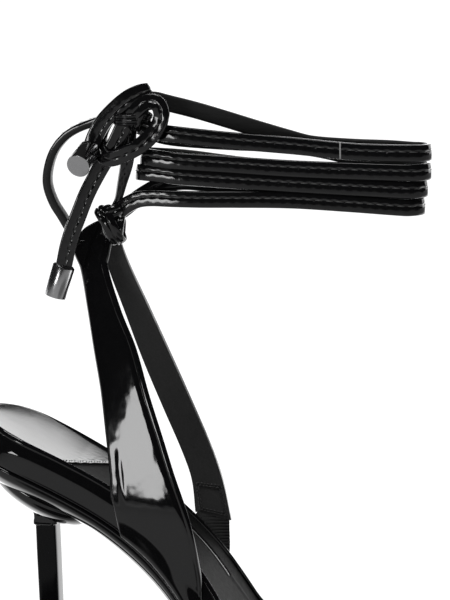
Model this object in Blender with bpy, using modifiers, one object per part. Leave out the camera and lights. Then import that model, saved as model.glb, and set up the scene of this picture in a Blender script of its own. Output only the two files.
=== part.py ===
"""High-heeled wrap sandal for the right foot.

A wrapped platform sole on a slim heel carries a halter quarter strap, a toe strap and ankle ties.
Units are metres and +Z is up. +X points to the toe, and +Y to the inner side of the foot.
"""
import math
from collections import namedtuple

import bmesh
import bpy
from mathutils import Matrix, Vector

MM = 0.001

# Driving dimensions
FIT_GAP = 0.3 * MM
STRAP_GAP = 0.45 * MM
SOLE_LENGTH = 243.0
TREAD_START = 181.5
TREAD_END = 202.0
FOOTBED_THICK = 14.0 * MM
TREAD_THICK = 3.2
OUTSOLE_INSET = 0.6
HEEL_END_ROUND = 25.0
HEEL_END_POWER = 2.15
TOE_END_ROUND = 34.0
TOE_END_POWER = 2.3
RIM_WIDTH = 2.6
RIM_ROUND = 2.4 * MM
FOOTBED_LOWER_ROUND = 0.8 * MM
RECESS_DEPTH = 2.2 * MM
RECESS_CUT_TOP = 8.0 * MM
RECESS_ROUND = 0.3 * MM
INSOLE_SINK = 0.6 * MM
INSOLE_ROUNDS = (0.6 * MM, 0.2 * MM)
OUTSOLE_ROUNDS = (0.4 * MM, 2.6 * MM)
HEEL_CUP_DEPTH = 12.2 * MM
HEEL_CUP_WIDTH = 19.8 * MM
HEEL_CUP_START = 6.0
HEEL_CUP_END = 61.0
HEEL_CUP_END_POWER = 0.7
HEEL_CUP_SIDE_POWER = 0.8
POST_FLARE = 0.4 * MM
POST_LONG = 8.0 * MM
POST_WIDE = 9.4 * MM
POST_TOP = Vector((24.2, 0.0, 84.0)) * MM
POST_FOOT_X = 26.6 * MM
POST_CORNER = 1.2 * MM
TIP_HEIGHT = 5.0 * MM
TIP_LIP = 0.5 * MM
STRAP_WALL = 1.6 * MM
TOE_STRAP_BACK = 176.0
TOE_STRAP_FRONT = 205.0
TOE_STRAP_RISE_BACK = 23.0 * MM
TOE_STRAP_RISE_FRONT = 18.0 * MM
TOE_STRAP_TOP_FORWARD = 1.0
TOE_STRAP_ARCH_POWER = 0.8
TOE_STRAP_DEPTHS = (13.2 * MM, 6.0 * MM)
ELASTIC_WALL = 1.2 * MM
ELASTIC_TOP_SPAN = (0.42, 0.94)
ELASTIC_TOP_DROP = 0.33 * MM
TIE_WIDTH = 6.4 * MM
TIE_THICK = 3.0 * MM
TIE_TUBE_RADIUS = 2.0 * MM
OCTAGON = 1.08
HOOP_LEFT = 71.0 * MM
HOOP_RIGHT = 171.8 * MM
HOOP_HALF = 6.5 * MM
METAL_TIP_RADIUS = 4.2 * MM
METAL_TIP_LENGTH = 12.8 * MM
METAL_TIP_GAP = 0.6 * MM
SHARP_ANGLE = math.radians(35)

# The sole's rim line by its length along the foot, in millimetres from the back of the heel: how steeply
# it falls there, in degrees, its half widths on the outer and the inner side, and the outsole's thickness.
SoleRow = namedtuple("SoleRow", "along slope outer inner outsole")
SOLE = [
    SoleRow(0.0, 21.0, 24.4, 24.4, 3.2),
    SoleRow(25.0, 25.0, 24.4, 24.4, 3.2),
    SoleRow(45.0, 28.0, 23.4, 23.2, 3.8),
    SoleRow(60.0, 30.5, 22.8, 22.2, 4.6),
    SoleRow(85.0, 40.0, 23.4, 21.8, 5.2),
    SoleRow(100.0, 47.0, 25.2, 23.0, 4.8),
    SoleRow(112.0, 53.0, 27.2, 24.8, 4.2),
    SoleRow(124.0, 58.5, 29.6, 27.4, 3.6),
    SoleRow(140.0, 61.0, 33.0, 31.4, 3.3),
    SoleRow(154.0, 40.4, 35.8, 34.6, TREAD_THICK),
    SoleRow(168.0, 19.9, 37.4, 37.0, TREAD_THICK),
    SoleRow(TREAD_START, 0.0, 37.8, 37.8, TREAD_THICK),
    SoleRow(TREAD_END, 0.0, 36.0, 37.6, TREAD_THICK),
    SoleRow(222.0, -5.0, 32.0, 35.0, TREAD_THICK),
    SoleRow(SOLE_LENGTH, -9.0, 25.0, 29.0, TREAD_THICK),
]

# Upper rows of the quarter strap above the sole, from the outer side over the top fold to the inner end:
# the places of its back and front edges in millimetres, and how far out the row stands.
StrapRow = namedtuple("StrapRow", "back_x back_z front_x front_z side")
STRAP = [
    StrapRow(55.6, 98.0, 87.0, 82.5, -26.2),
    StrapRow(55.2, 101.5, 80.6, 100.5, -25.2),
    StrapRow(53.2, 116.0, 75.2, 116.0, -22.6),
    StrapRow(50.8, 132.0, 69.5, 132.0, -18.9),
    StrapRow(47.0, 150.0, 63.6, 150.0, -13.6),
    StrapRow(44.2, 164.0, 57.1, 164.0, -9.4),
    StrapRow(41.2, 181.0, 51.0, 181.0, -5.2),
    StrapRow(39.9, 190.0, 49.6, 190.0, -4.0),
    StrapRow(40.9, 193.2, 50.8, 193.2, -2.7),
    StrapRow(42.4, 194.6, 52.4, 194.6, 0.0),
    StrapRow(44.0, 193.2, 54.0, 193.2, 2.7),
    StrapRow(45.8, 189.6, 55.6, 189.6, 3.9),
    StrapRow(49.6, 181.0, 58.6, 181.0, 4.6),
    StrapRow(55.6, 162.0, 66.4, 162.0, 8.2),
    StrapRow(62.6, 140.0, 75.2, 140.0, 12.8),
    StrapRow(70.0, 119.0, 83.2, 119.0, 18.0),
    StrapRow(77.4, 98.6, 90.4, 99.0, 23.2),
    StrapRow(81.0, 86.0, 94.4, 85.0, 26.0),
    StrapRow(82.4, 71.6, 97.6, 68.4, 27.4),
]

# Lower rows of the quarter strap and of the elastic on the sole's sides: depth under the rim line in
# millimetres, and where along the sole the back and front edges are.
BaseRow = namedtuple("BaseRow", "depth back front")
STRAP_BASE = [
    BaseRow(13.2, 76.0, 132.0),
    BaseRow(6.5, 68.5, 119.5),
    BaseRow(1.0, 62.5, 110.5),
]
ELASTIC_BASE = [
    BaseRow(1.5, 110.0, 120.5),
    BaseRow(7.0, 114.0, 124.0),
    BaseRow(12.5, 118.0, 127.5),
]

# The tie's turns round the ankle in millimetres: height at the hoop's left end, on its right end, and at
# the left end again after the back run. The top turn starts and ends at the bow.
TurnRow = namedtuple("TurnRow", "left right next_left")
TURNS = [TurnRow(209.0, 206.6, 217.0), TurnRow(217.0, 213.8, 224.4), TurnRow(224.4, 221.0, 230.4)]
TOP_TURN_LEFT = 233.6
TOP_TURN_RIGHT = 228.2
TOP_TURN_TWIST = 1.0
WRAP_START = [(61.4, -6.0, 203.4), (65.6, -6.5, 207.0)]
WRAP_END = [(67.6, 4.6, 233.0), (65.4, 2.4, 236.4)]
TOP_WRAP_START = [(63.4, 0.8, 246.6), (68.0, 4.0, 247.9), (76.0, 6.0, 246.6), (84.0, 6.5, 244.4),
                  (97.4, 6.5, 239.0), (112.0, 6.5, 234.8), (126.0, 6.5, 232.8), (150.0, 6.5, 230.6)]
TOP_WRAP_END = [(66.2, -5.4, 236.4)]

# Routes of the ties' loose stretches, in millimetres
CASING_ROUTE = [(55.6, 0.6, 191.4), (50.0, 0.2, 191.0), (44.0, 0.0, 190.8), (38.8, -0.2, 190.6),
                (35.8, -1.2, 193.4), (36.8, -2.4, 197.8), (41.6, -3.4, 200.6), (50.4, -4.0, 200.4)]
RISER_ROUTE = [(56.8, -4.0, 206.6), (57.6, -4.0, 213.0), (59.4, -3.6, 222.0), (60.4, -3.5, 229.0),
               (60.9, -3.5, 234.4)]
RING_ROUTE = [(63.2, -8.4, 242.6), (68.0, -9.6, 246.8), (73.4, -10.4, 247.0), (75.6, -11.0, 242.6),
              (72.6, -11.4, 236.0), (66.6, -11.4, 228.6), (59.8, -11.2, 224.6), (55.8, -10.6, 227.4),
              (56.6, -9.8, 233.0), (58.6, -8.6, 237.2)]
LOOP_ROUTE = [(56.0, -1.8, 240.6), (46.0, 0.8, 238.4), (34.0, 1.8, 232.6), (27.6, 2.8, 224.6),
              (25.6, 2.8, 215.6), (28.4, 2.0, 205.8), (32.4, 2.0, 199.4), (34.8, 3.2, 194.9)]
SHORT_END_ROUTE = [(64.2, -2.2, 245.4), (65.2, -2.4, 250.2), (61.0, -3.2, 252.4), (54.4, -4.2, 248.4),
                   (50.2, -4.4, 240.6), (49.8, -4.2, 234.2), (49.2, -5.6, 230.2), (47.9, -8.1, 228.8)]
LONG_END_ROUTE = [(56.8, -4.0, 235.2), (54.8, -3.8, 229.0), (51.0, -4.4, 220.6), (44.6, -7.6, 206.0),
                  (39.0, -9.4, 193.0), (34.9, -9.8, 182.6)]
SHORT_TIP_AXIS = Vector((-0.41, -0.80, -0.42)).normalized()
LONG_TIP_AXIS = Vector((-0.28, 0.0, -0.96)).normalized()

# Knots as plain ellipsoids: centre and half sizes in millimetres
Knot = namedtuple("Knot", "centre half")
STRAP_KNOT = Knot((56.8, -4.0, 200.2), (4.8, 4.4, 6.0))
BOW_KNOT = Knot((61.0, -3.4, 240.0), (4.4, 4.2, 5.2))

# Colour, roughness and metallic value of each material
Finish = namedtuple("Finish", "colour roughness metallic")
FINISHES = {
    "patent": Finish((0.008, 0.008, 0.009), 0.08, 0.0),
    "patent_edge": Finish((0.012, 0.012, 0.013), 0.2, 0.0),
    "sock": Finish((0.02, 0.02, 0.021), 0.35, 0.0),
    "elastic": Finish((0.015, 0.015, 0.016), 0.85, 0.0),
    "rubber": Finish((0.01, 0.01, 0.01), 0.6, 0.0),
    "gunmetal": Finish((0.16, 0.16, 0.17), 0.22, 1.0),
}


def clear_scene():
    for old in list(bpy.data.objects):
        bpy.data.objects.remove(old, do_unlink=True)


def make_collection(name):
    group = bpy.data.collections.new(name)
    bpy.context.scene.collection.children.link(group)
    return group


def material(name):
    made = bpy.data.materials.get(name)
    if made is None:
        made = bpy.data.materials.new(name)
        made.use_nodes = True
        shader = made.node_tree.nodes["Principled BSDF"]
        finish = FINISHES[name]
        shader.inputs["Base Color"].default_value = (*finish.colour, 1.0)
        shader.inputs["Roughness"].default_value = finish.roughness
        shader.inputs["Metallic"].default_value = finish.metallic
    return made


def add_mesh(bm, name, group, finish):
    """Turn a bmesh into a smooth-shaded object of the collection."""
    bmesh.ops.recalc_face_normals(bm, faces=bm.faces[:])
    mesh = bpy.data.meshes.new(name)
    bm.to_mesh(mesh)
    bm.free()
    mesh.materials.append(material(finish))
    mesh.shade_smooth()
    mesh.set_sharp_from_angle(angle=SHARP_ANGLE)
    piece = bpy.data.objects.new(name, mesh)
    group.objects.link(piece)
    return piece


def loft(name, rings, group, finish):
    """Close a solid through rings of points, with flat caps on the first and last ring."""
    bm = bmesh.new()
    loops = [[bm.verts.new(point) for point in ring] for ring in rings]
    count = len(loops[0])
    for near, far in zip(loops, loops[1:]):
        for i in range(count):
            j = (i + 1) % count
            bm.faces.new((near[i], near[j], far[j], far[i]))
    bm.faces.new(reversed(loops[0]))
    bm.faces.new(loops[-1])
    return add_mesh(bm, name, group, finish)


def shell(name, rows, wall, group, finish):
    """Build a wall of even thickness on an open grid of points."""
    bm = bmesh.new()
    grid = [[bm.verts.new(point) for point in row] for row in rows]
    for low, high in zip(grid, grid[1:]):
        for i in range(len(low) - 1):
            bm.faces.new((low[i], low[i + 1], high[i + 1], high[i]))
    piece = add_mesh(bm, name, group, finish)
    thicken = piece.modifiers.new("wall", "SOLIDIFY")
    thicken.thickness = wall
    thicken.offset = 0.0
    return piece


def tube(name, route, radius, group, finish):
    """Draw a round cord along a smooth curve through the route's points."""
    curve = bpy.data.curves.new(name, "CURVE")
    curve.dimensions = "3D"
    curve.bevel_depth = radius
    curve.bevel_resolution = 2
    curve.use_fill_caps = True
    points = smooth_route([place(p) for p in route])
    spline = curve.splines.new("POLY")
    spline.points.add(len(points) - 1)
    for knot, point in zip(spline.points, points):
        knot.co = (*point, 1.0)
    curve.materials.append(material(finish))
    piece = bpy.data.objects.new(name, curve)
    group.objects.link(piece)
    return piece


def smooth_route(points, steps=2):
    """Read a Catmull-Rom curve through the points, with a few steps in each span."""
    ends = [2 * points[0] - points[1], *points, 2 * points[-1] - points[-2]]
    read = []
    for a, b, c, d in zip(ends, ends[1:], ends[2:], ends[3:]):
        for step in range(steps):
            t = step / steps
            read.append(0.5 * (2 * b + (c - a) * t + (2 * a - 5 * b + 4 * c - d) * t * t
                               + (3 * b - a - 3 * c + d) * t ** 3))
    return read + [points[-1]]


def rim_line(along):
    """Place and slope of the rim line: each span of the table is an arc between its two slopes."""
    x, z = 0.0, 0.0
    for row, after in zip(SOLE, SOLE[1:]):
        length = min(along, after.along) - row.along
        start = math.radians(row.slope)
        bend = math.radians(after.slope - row.slope) / (after.along - row.along)
        end = start + bend * length
        if abs(bend) < 1e-9:
            x += length * math.cos(start)
            z -= length * math.sin(start)
        else:
            x += (math.sin(end) - math.sin(start)) / bend
            z += (math.cos(end) - math.cos(start)) / bend
        if along <= after.along:
            break
    return x * MM, z * MM, end


OUTSOLE_TOP = -FOOTBED_THICK - FIT_GAP
TREAD_DEPTH = FOOTBED_THICK + FIT_GAP + TREAD_THICK * MM
HEEL_BACK_HEIGHT = TREAD_DEPTH - rim_line(TREAD_START)[1]


def lower_corner(along):
    """Place along X of the sole's lower corner at a distance along the foot."""
    x, _, slope = rim_line(along)
    return x - TREAD_DEPTH * math.sin(slope)


SOLE_BACK = lower_corner(OUTSOLE_INSET)
SOLE_FRONT = lower_corner(SOLE_LENGTH - OUTSOLE_INSET)
ORIGIN_SHIFT = Vector((-(SOLE_BACK + SOLE_FRONT) / 2, 0.0, 0.0))


def place(point):
    """Point given in millimetres from the back of the heel, in the part's own frame."""
    return Vector(point) * MM + ORIGIN_SHIFT


def on_sole(along, side, lift):
    """Point at a distance along the sole, to one side and above or below the rim line."""
    x, z, slope = rim_line(along)
    return Vector((x + lift * math.sin(slope), side,
                   z + HEEL_BACK_HEIGHT + lift * math.cos(slope))) + ORIGIN_SHIFT


def smooth_column(column, along):
    """Read one column of the sole's table with a cubic that keeps its slope across rows."""
    rows = [(row.along, getattr(row, column)) for row in SOLE]
    index = max(i for i in range(len(rows) - 1) if rows[i][0] <= along or i == 0)

    def tangent(i):
        low, high = max(i - 1, 0), min(i + 1, len(rows) - 1)
        return (rows[high][1] - rows[low][1]) / (rows[high][0] - rows[low][0])

    (x0, y0), (x1, y1) = rows[index], rows[index + 1]
    span = x1 - x0
    t = (along - x0) / span
    return ((2 * t ** 3 - 3 * t ** 2 + 1) * y0 + (t ** 3 - 2 * t ** 2 + t) * span * tangent(index)
            + (3 * t ** 2 - 2 * t ** 3) * y1 + (t ** 3 - t ** 2) * span * tangent(index + 1))


def end_round(distance, radius, power):
    """Share of the full width at a distance from a rounded end of the outline."""
    left = max(0.0, 1.0 - distance / radius)
    return (1.0 - left ** power) ** (1.0 / power)


def half_width(column, along, inset=0.0):
    """Half width of the sole's outline, or of the outline inset by a margin in millimetres."""
    heel = end_round(along - inset, HEEL_END_ROUND - inset, HEEL_END_POWER)
    toe = end_round(SOLE_LENGTH - inset - along, TOE_END_ROUND - inset, TOE_END_POWER)
    return (smooth_column(column, along) - inset) * heel * toe * MM


def stations(inset=0.0):
    """Section places along the sole, closer together round the heel and the toe."""
    turns = [math.radians(a) for a in (10, 26, 42, 58, 74)]
    heel = [inset + (HEEL_END_ROUND - inset) * (1 - math.cos(a)) for a in turns]
    toe = [SOLE_LENGTH - inset - (TOE_END_ROUND - inset) * (1 - math.cos(a)) for a in reversed(turns)]
    middle = []
    for row, after in zip(SOLE, SOLE[1:]):
        middle += [row.along, (row.along + after.along) / 2]
    return heel + [a for a in middle if heel[-1] + 2 < a < toe[0] - 2] + toe


def corner(side, height, radius, quarter, inward):
    """Points of one rounded corner of a section, from the start angle of its quarter turn."""
    points = []
    for step in range(4):
        angle = math.radians(quarter + 30 * step)
        points.append((side + radius * (math.cos(angle) - inward[0]),
                       height + radius * (math.sin(angle) - inward[1])))
    return points


def plate_section(outer, inner, top, bottom, top_round, bottom_round):
    """Ring of a plate's section: outer side at -Y, inner side at +Y, with rounded edges."""
    limit = 0.45 * min(outer + inner, top - bottom)
    high, low = min(top_round, limit), min(bottom_round, limit)
    return (corner(inner, bottom, low, 270, (1, -1)) + corner(inner, top, high, 0, (1, 1))
            + corner(-outer, top, high, 90, (-1, 1)) + corner(-outer, bottom, low, 180, (-1, -1)))


def sole_plate(name, inset, top, bottom, rounds, group, finish):
    """Loft a plate along the sole between a level and a function of the place, both from the rim line."""
    rings = []
    for along in stations(inset):
        outer, inner = half_width("outer", along, inset), half_width("inner", along, inset)
        section = plate_section(outer, inner, top, bottom(along), *rounds)
        rings.append([on_sole(along, side, lift) for side, lift in section])
    return loft(name, rings, group, finish)


def outsole_bottom(along):
    return OUTSOLE_TOP - smooth_column("outsole", along) * MM


def make_sole(parts, cutters):
    footbed = sole_plate("footbed", 0.0, 0.0, lambda along: -FOOTBED_THICK,
                         (RIM_ROUND, FOOTBED_LOWER_ROUND), parts, "patent")
    recess = sole_plate("footbed_recess_cutter", RIM_WIDTH, RECESS_CUT_TOP, lambda along: -RECESS_DEPTH,
                        (RECESS_ROUND, RECESS_ROUND), cutters, "sock")
    hide_cutter(recess)
    cut = footbed.modifiers.new("recess", "BOOLEAN")
    cut.operation = "DIFFERENCE"
    cut.object = recess
    sole_plate("insole", RIM_WIDTH + FIT_GAP / MM, -INSOLE_SINK, lambda along: -RECESS_DEPTH + FIT_GAP,
               INSOLE_ROUNDS, parts, "sock")
    sole_plate("outsole", OUTSOLE_INSET, OUTSOLE_TOP, outsole_bottom, OUTSOLE_ROUNDS, parts, "patent_edge")


def hide_cutter(piece):
    piece.hide_render = True
    piece.display_type = "WIRE"


def make_heel(parts, cutters):
    """Boat-shaped cup under the heel seat, joined to a slim square post on a rubber tip."""
    middle, reach = (HEEL_CUP_START + HEEL_CUP_END) / 2, (HEEL_CUP_END - HEEL_CUP_START) / 2
    rings = []
    for turn in range(-80, 81, 16):
        along = middle + reach * math.sin(math.radians(turn))
        seat = outsole_bottom(along) - FIT_GAP
        share = math.cos(math.radians(turn))
        ring = []
        depth = HEEL_CUP_DEPTH * share ** HEEL_CUP_END_POWER
        for step in range(13):
            angle = math.pi * step / 12
            ring.append(on_sole(along, HEEL_CUP_WIDTH * share * math.cos(angle),
                                seat - depth * math.sin(angle) ** HEEL_CUP_SIDE_POWER))
        rings.append(ring)
    cup = loft("heel", rings, parts, "patent")
    foot = Vector((POST_FOOT_X, 0.0, TIP_HEIGHT + FIT_GAP))
    post = loft("heel_post_cutter", [post_ring(foot, 0.0), post_ring(POST_TOP, POST_FLARE)], cutters,
                "patent")
    hide_cutter(post)
    join = cup.modifiers.new("post", "BOOLEAN")
    join.operation = "UNION"
    join.object = post
    ground = Vector((POST_FOOT_X, 0.0, 0.0))
    top = ground + Vector((0.0, 0.0, TIP_HEIGHT))
    loft("heel_tip", [post_ring(ground, TIP_LIP), post_ring(top, TIP_LIP / 2)], parts, "rubber")


def post_ring(centre, lip):
    """Ring of the post's square section with rounded corners."""
    section = plate_section(POST_WIDE / 2 + lip, POST_WIDE / 2 + lip, POST_LONG / 2 + lip,
                            -POST_LONG / 2 - lip, POST_CORNER, POST_CORNER)
    return [centre + ORIGIN_SHIFT + Vector((lift, side, 0.0)) for side, lift in section]


def across(start, end, count):
    return [start + (end - start) * i / (count - 1) for i in range(count)]


def make_quarter_strap(parts):
    """One halter band: up from the outer side of the sole, over the fold and down to the inner end."""
    columns = 6
    stand = STRAP_GAP + STRAP_WALL / 2
    rows = []
    for base in STRAP_BASE:
        rows.append([on_sole(along, -half_width("outer", along) - stand, -base.depth * MM)
                     for along in across(base.back, base.front, columns)])
    for row in STRAP:
        rows.append(across(*strap_edges(row), columns))
    shell("quarter_strap", rows, STRAP_WALL, parts, "patent")


def strap_edges(row):
    """Back and front edge points of one row of the quarter strap."""
    return place((row.back_x, row.side, row.back_z)), place((row.front_x, row.side, row.front_z))


def make_elastic(parts):
    """Elastic that hangs the strap's inner end on the side of the sole."""
    columns = 4
    stand = STRAP_GAP + ELASTIC_WALL / 2
    edge_back, edge_front = strap_edges(STRAP[-1])
    drop = Vector((0.0, 0.0, -ELASTIC_TOP_DROP))
    top_back, top_front = [edge_back.lerp(edge_front, share) + drop for share in ELASTIC_TOP_SPAN]
    rows = [across(top_back, top_front, columns)]
    for base in ELASTIC_BASE:
        rows.append([on_sole(along, half_width("inner", along) + stand, -base.depth * MM)
                     for along in across(base.back, base.front, columns)])
    shell("elastic_gore", rows, ELASTIC_WALL, parts, "elastic")


def make_toe_strap(parts):
    """Band over the toes, from the side of the sole up over an oval arch and down again."""
    columns = 5
    stand = STRAP_GAP + STRAP_WALL / 2
    places = across(TOE_STRAP_BACK, TOE_STRAP_FRONT, columns)
    rises = across(TOE_STRAP_RISE_BACK, TOE_STRAP_RISE_FRONT, columns)
    rows = []
    for depth in TOE_STRAP_DEPTHS:
        rows.append([on_sole(a, -half_width("outer", a) - stand, -depth) for a in places])
    for turn in range(0, 181, 15):
        angle = math.radians(turn)
        column = "outer" if turn <= 90 else "inner"
        row = []
        for along, rise in zip(places, rises):
            reach = half_width(column, along) + stand
            shift = along + TOE_STRAP_TOP_FORWARD * math.sin(angle)
            lift = rise * math.sin(angle) ** TOE_STRAP_ARCH_POWER
            row.append(on_sole(shift, -reach * math.cos(angle), lift))
        rows.append(row)
    for depth in reversed(TOE_STRAP_DEPTHS):
        rows.append([on_sole(a, half_width("inner", a) + stand, -depth) for a in places])
    shell("toe_strap", rows, STRAP_WALL, parts, "patent")


def tie_strip(name, route, group):
    """Sweep the tie's flat oval section along a level route, its width held upright."""
    rings = []
    for i, point in enumerate(route):
        ahead = route[min(i + 1, len(route) - 1)] - route[max(i - 1, 0)]
        across_tie = Vector((ahead.y, -ahead.x, 0.0)).normalized()
        up = ahead.normalized().cross(across_tie)
        if up.z < 0:
            up = -up
        ring = []
        for step in range(8):
            angle = math.radians(22.5 + 45 * step)
            ring.append(point + across_tie * (OCTAGON * TIE_THICK / 2 * math.cos(angle))
                        + up * (OCTAGON * TIE_WIDTH / 2 * math.sin(angle)))
        rings.append(ring)
    return loft(name, rings, group, "patent")


def hoop_point(centre, turn, height):
    """Point of the hoop's round end at an angle in degrees, at a height in millimetres."""
    angle = math.radians(turn)
    side = HOOP_HALF * math.sin(angle)
    return Vector((centre + HOOP_HALF * math.cos(angle), side, height * MM)) + ORIGIN_SHIFT


def turn_route(turn, close_left):
    """One turn of the hoop: front run, round the right end, back run and round the left end."""
    points = across(hoop_point(HOOP_LEFT, -90, turn.left), hoop_point(HOOP_RIGHT, -90, turn.right), 5)
    points += [hoop_point(HOOP_RIGHT, angle, turn.right) for angle in range(-60, 91, 30)]
    points += across(points[-1], hoop_point(HOOP_LEFT, 90, turn.next_left), 5)[1:]
    if close_left:
        points += [hoop_point(HOOP_LEFT, angle, turn.next_left) for angle in range(120, 241, 30)]
    return points


def make_wrap(parts):
    """Three turns that rise from the strap's knot, and a top turn that starts and ends at the bow."""
    route = []
    for turn in TURNS:
        route += turn_route(turn, close_left=turn is not TURNS[-1])
    start, end = [place(p) for p in WRAP_START], [place(p) for p in WRAP_END]
    tie_strip("ankle_wrap", start + route + end, parts)
    top = []
    for angle in range(90, -91, -30):
        twist = TOP_TURN_TWIST * (angle + 90) / 180
        top.append(hoop_point(HOOP_RIGHT, angle, TOP_TURN_RIGHT + twist))
    top += across(top[-1], hoop_point(HOOP_LEFT, -90, TOP_TURN_LEFT), 5)[1:]
    start, end = [place(p) for p in TOP_WRAP_START], [place(p) for p in TOP_WRAP_END]
    tie_strip("ankle_wrap_top", start + top + end, parts)


def make_knot(name, knot, group):
    bm = bmesh.new()
    bmesh.ops.create_uvsphere(bm, u_segments=14, v_segments=9, radius=1.0)
    bmesh.ops.scale(bm, vec=Vector(knot.half) * MM, verts=bm.verts)
    bmesh.ops.translate(bm, vec=place(knot.centre), verts=bm.verts)
    return add_mesh(bm, name, group, "patent")


def make_metal_tip(name, route, axis, group):
    """Turned metal tip that holds the end of a tie."""
    centre = place(route[-1]) + axis * (METAL_TIP_GAP + METAL_TIP_LENGTH / 2)
    bm = bmesh.new()
    bmesh.ops.create_cone(bm, cap_ends=True, segments=20, radius1=METAL_TIP_RADIUS,
                          radius2=METAL_TIP_RADIUS, depth=METAL_TIP_LENGTH)
    turn = Vector((0, 0, 1)).rotation_difference(axis).to_matrix().to_4x4()
    bmesh.ops.transform(bm, matrix=Matrix.Translation(centre) @ turn, verts=bm.verts)
    return add_mesh(bm, name, group, "gunmetal")


def make_bow(parts):
    make_knot("tie_knot", STRAP_KNOT, parts)
    make_knot("bow_knot", BOW_KNOT, parts)
    routes = {"tie_casing": CASING_ROUTE, "tie_riser": RISER_ROUTE, "bow_ring": RING_ROUTE,
              "bow_loop": LOOP_ROUTE, "tie_end_short": SHORT_END_ROUTE, "tie_end_long": LONG_END_ROUTE}
    for name, route in routes.items():
        tube(name, route, TIE_TUBE_RADIUS, parts, "patent")
    make_metal_tip("tie_tip_short", SHORT_END_ROUTE, SHORT_TIP_AXIS, parts)
    make_metal_tip("tie_tip_long", LONG_END_ROUTE, LONG_TIP_AXIS, parts)


def main():
    clear_scene()
    parts = make_collection("wrap_sandal")
    cutters = make_collection("wrap_sandal_cutters")
    make_sole(parts, cutters)
    make_heel(parts, cutters)
    make_quarter_strap(parts)
    make_elastic(parts)
    make_toe_strap(parts)
    make_wrap(parts)
    make_bow(parts)


main()
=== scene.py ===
"""Studio scene of the wrap sandal: patent leather, lining, stitched ties and metal tips."""

import math
from bisect import bisect_right

import bmesh
import bpy
from mathutils import Matrix, Vector, noise


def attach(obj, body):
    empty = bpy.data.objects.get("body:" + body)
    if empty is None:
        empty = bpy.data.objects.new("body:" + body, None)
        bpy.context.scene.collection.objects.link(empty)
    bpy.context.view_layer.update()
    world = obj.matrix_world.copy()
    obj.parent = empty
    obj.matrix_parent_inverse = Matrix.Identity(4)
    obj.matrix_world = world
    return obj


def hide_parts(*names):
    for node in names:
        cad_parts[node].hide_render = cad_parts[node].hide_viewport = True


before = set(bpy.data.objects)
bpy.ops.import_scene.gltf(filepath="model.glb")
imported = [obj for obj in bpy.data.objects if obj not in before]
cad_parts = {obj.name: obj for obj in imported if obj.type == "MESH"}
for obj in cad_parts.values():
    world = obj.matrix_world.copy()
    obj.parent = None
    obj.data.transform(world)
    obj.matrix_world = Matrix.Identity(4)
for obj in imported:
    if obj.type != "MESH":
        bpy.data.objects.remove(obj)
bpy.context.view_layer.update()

MM = 0.001
UP = Vector((0.0, 0.0, 1.0))
BACK = Vector((0.0, 1.0, 0.0))

# The part's own sizes, in millimetres from the back of the heel's rim
HEEL_BACK_X = -99.7775
HEEL_BACK_HEIGHT = 121.2636
SOLE_LENGTH = 243.0
FOOTBED_THICK = 14.0
FIT_GAP = 0.3
HEEL_END_ROUND = 25.0
HEEL_END_POWER = 2.15
TOE_END_ROUND = 34.0
TOE_END_POWER = 2.3
ALONG, SLOPE, OUTER, INNER, OUTSOLE = range(5)
SOLE = [
    (0, 21, 24.4, 24.4, 3.2),
    (25, 25, 24.4, 24.4, 3.2),
    (45, 28, 23.4, 23.2, 3.8),
    (60, 30.5, 22.8, 22.2, 4.6),
    (85, 40, 23.4, 21.8, 5.2),
    (100, 47, 25.2, 23, 4.8),
    (112, 53, 27.2, 24.8, 4.2),
    (124, 58.5, 29.6, 27.4, 3.6),
    (140, 61, 33, 31.4, 3.3),
    (154, 40.4, 35.8, 34.6, 3.2),
    (168, 19.9, 37.4, 37, 3.2),
    (181.5, 0, 37.8, 37.8, 3.2),
    (202, 0, 36, 37.6, 3.2),
    (222, -5, 32, 35, 3.2),
    (243, -9, 25, 29, 3.2),
]

# Sections of the sole's edge: how far in from the outline, and how high over the rim line
PIPING = [
    (6, -2.6), (3.1, -2.2), (2.95, -1.2), (2.65, -0.5), (2.15, -0.1), (1.8, -0.15), (1.5, -0.55),
    (1.38, -0.95), (1.29, -1.4), (1.22, -1.75), (1.3, -2.05), (1.45, -2.25),
]
BAND = [
    (1.45, -2.25), (1.3, -2.4), (1.14, -2.8), (0.92, -3.4), (0.62, -4.2), (0.38, -4.9), (0.2, -5.6),
    (0.1, -6.3), (0.03, -7.2), (0, -8.6), (0, -10.6), (0.06, -12.2), (0.26, -13.1), (0.7, -13.7),
    (1.6, -14), (5, -14.05),
]
# The outsole's edge: how far in, and which share of its thickness. Then what is added to that along the foot
OUTSOLE_EDGE = [
    (5, -0.07), (1.5, -0.05), (0.6, 0), (0.34, 0.07), (0.45, 0.17), (1.2, 0.4), (2.6, 0.63),
    (4.4, 0.83), (6.8, 1),
]
OUTSOLE_EXTRA = [(0, 4.4), (32, 4.4), (50, 3.2), (66, 2.2), (243, 2.2)]
# Heights of the rings of the heel's post and collar, and how far each stands out
POST_LEVELS = [(5.3, 0), (5.6, 0.05), (20, 0.1), (40, 0.18), (60, 0.27), (76, 0.36), (90.5, 1.6)]
COLLAR_LEVELS = [(72.6, 0.2), (72.8, 0.75), (73.6, 1), (76, 0.8), (78.5, 1), (84, 1.5), (90.5, 3.2)]

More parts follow.
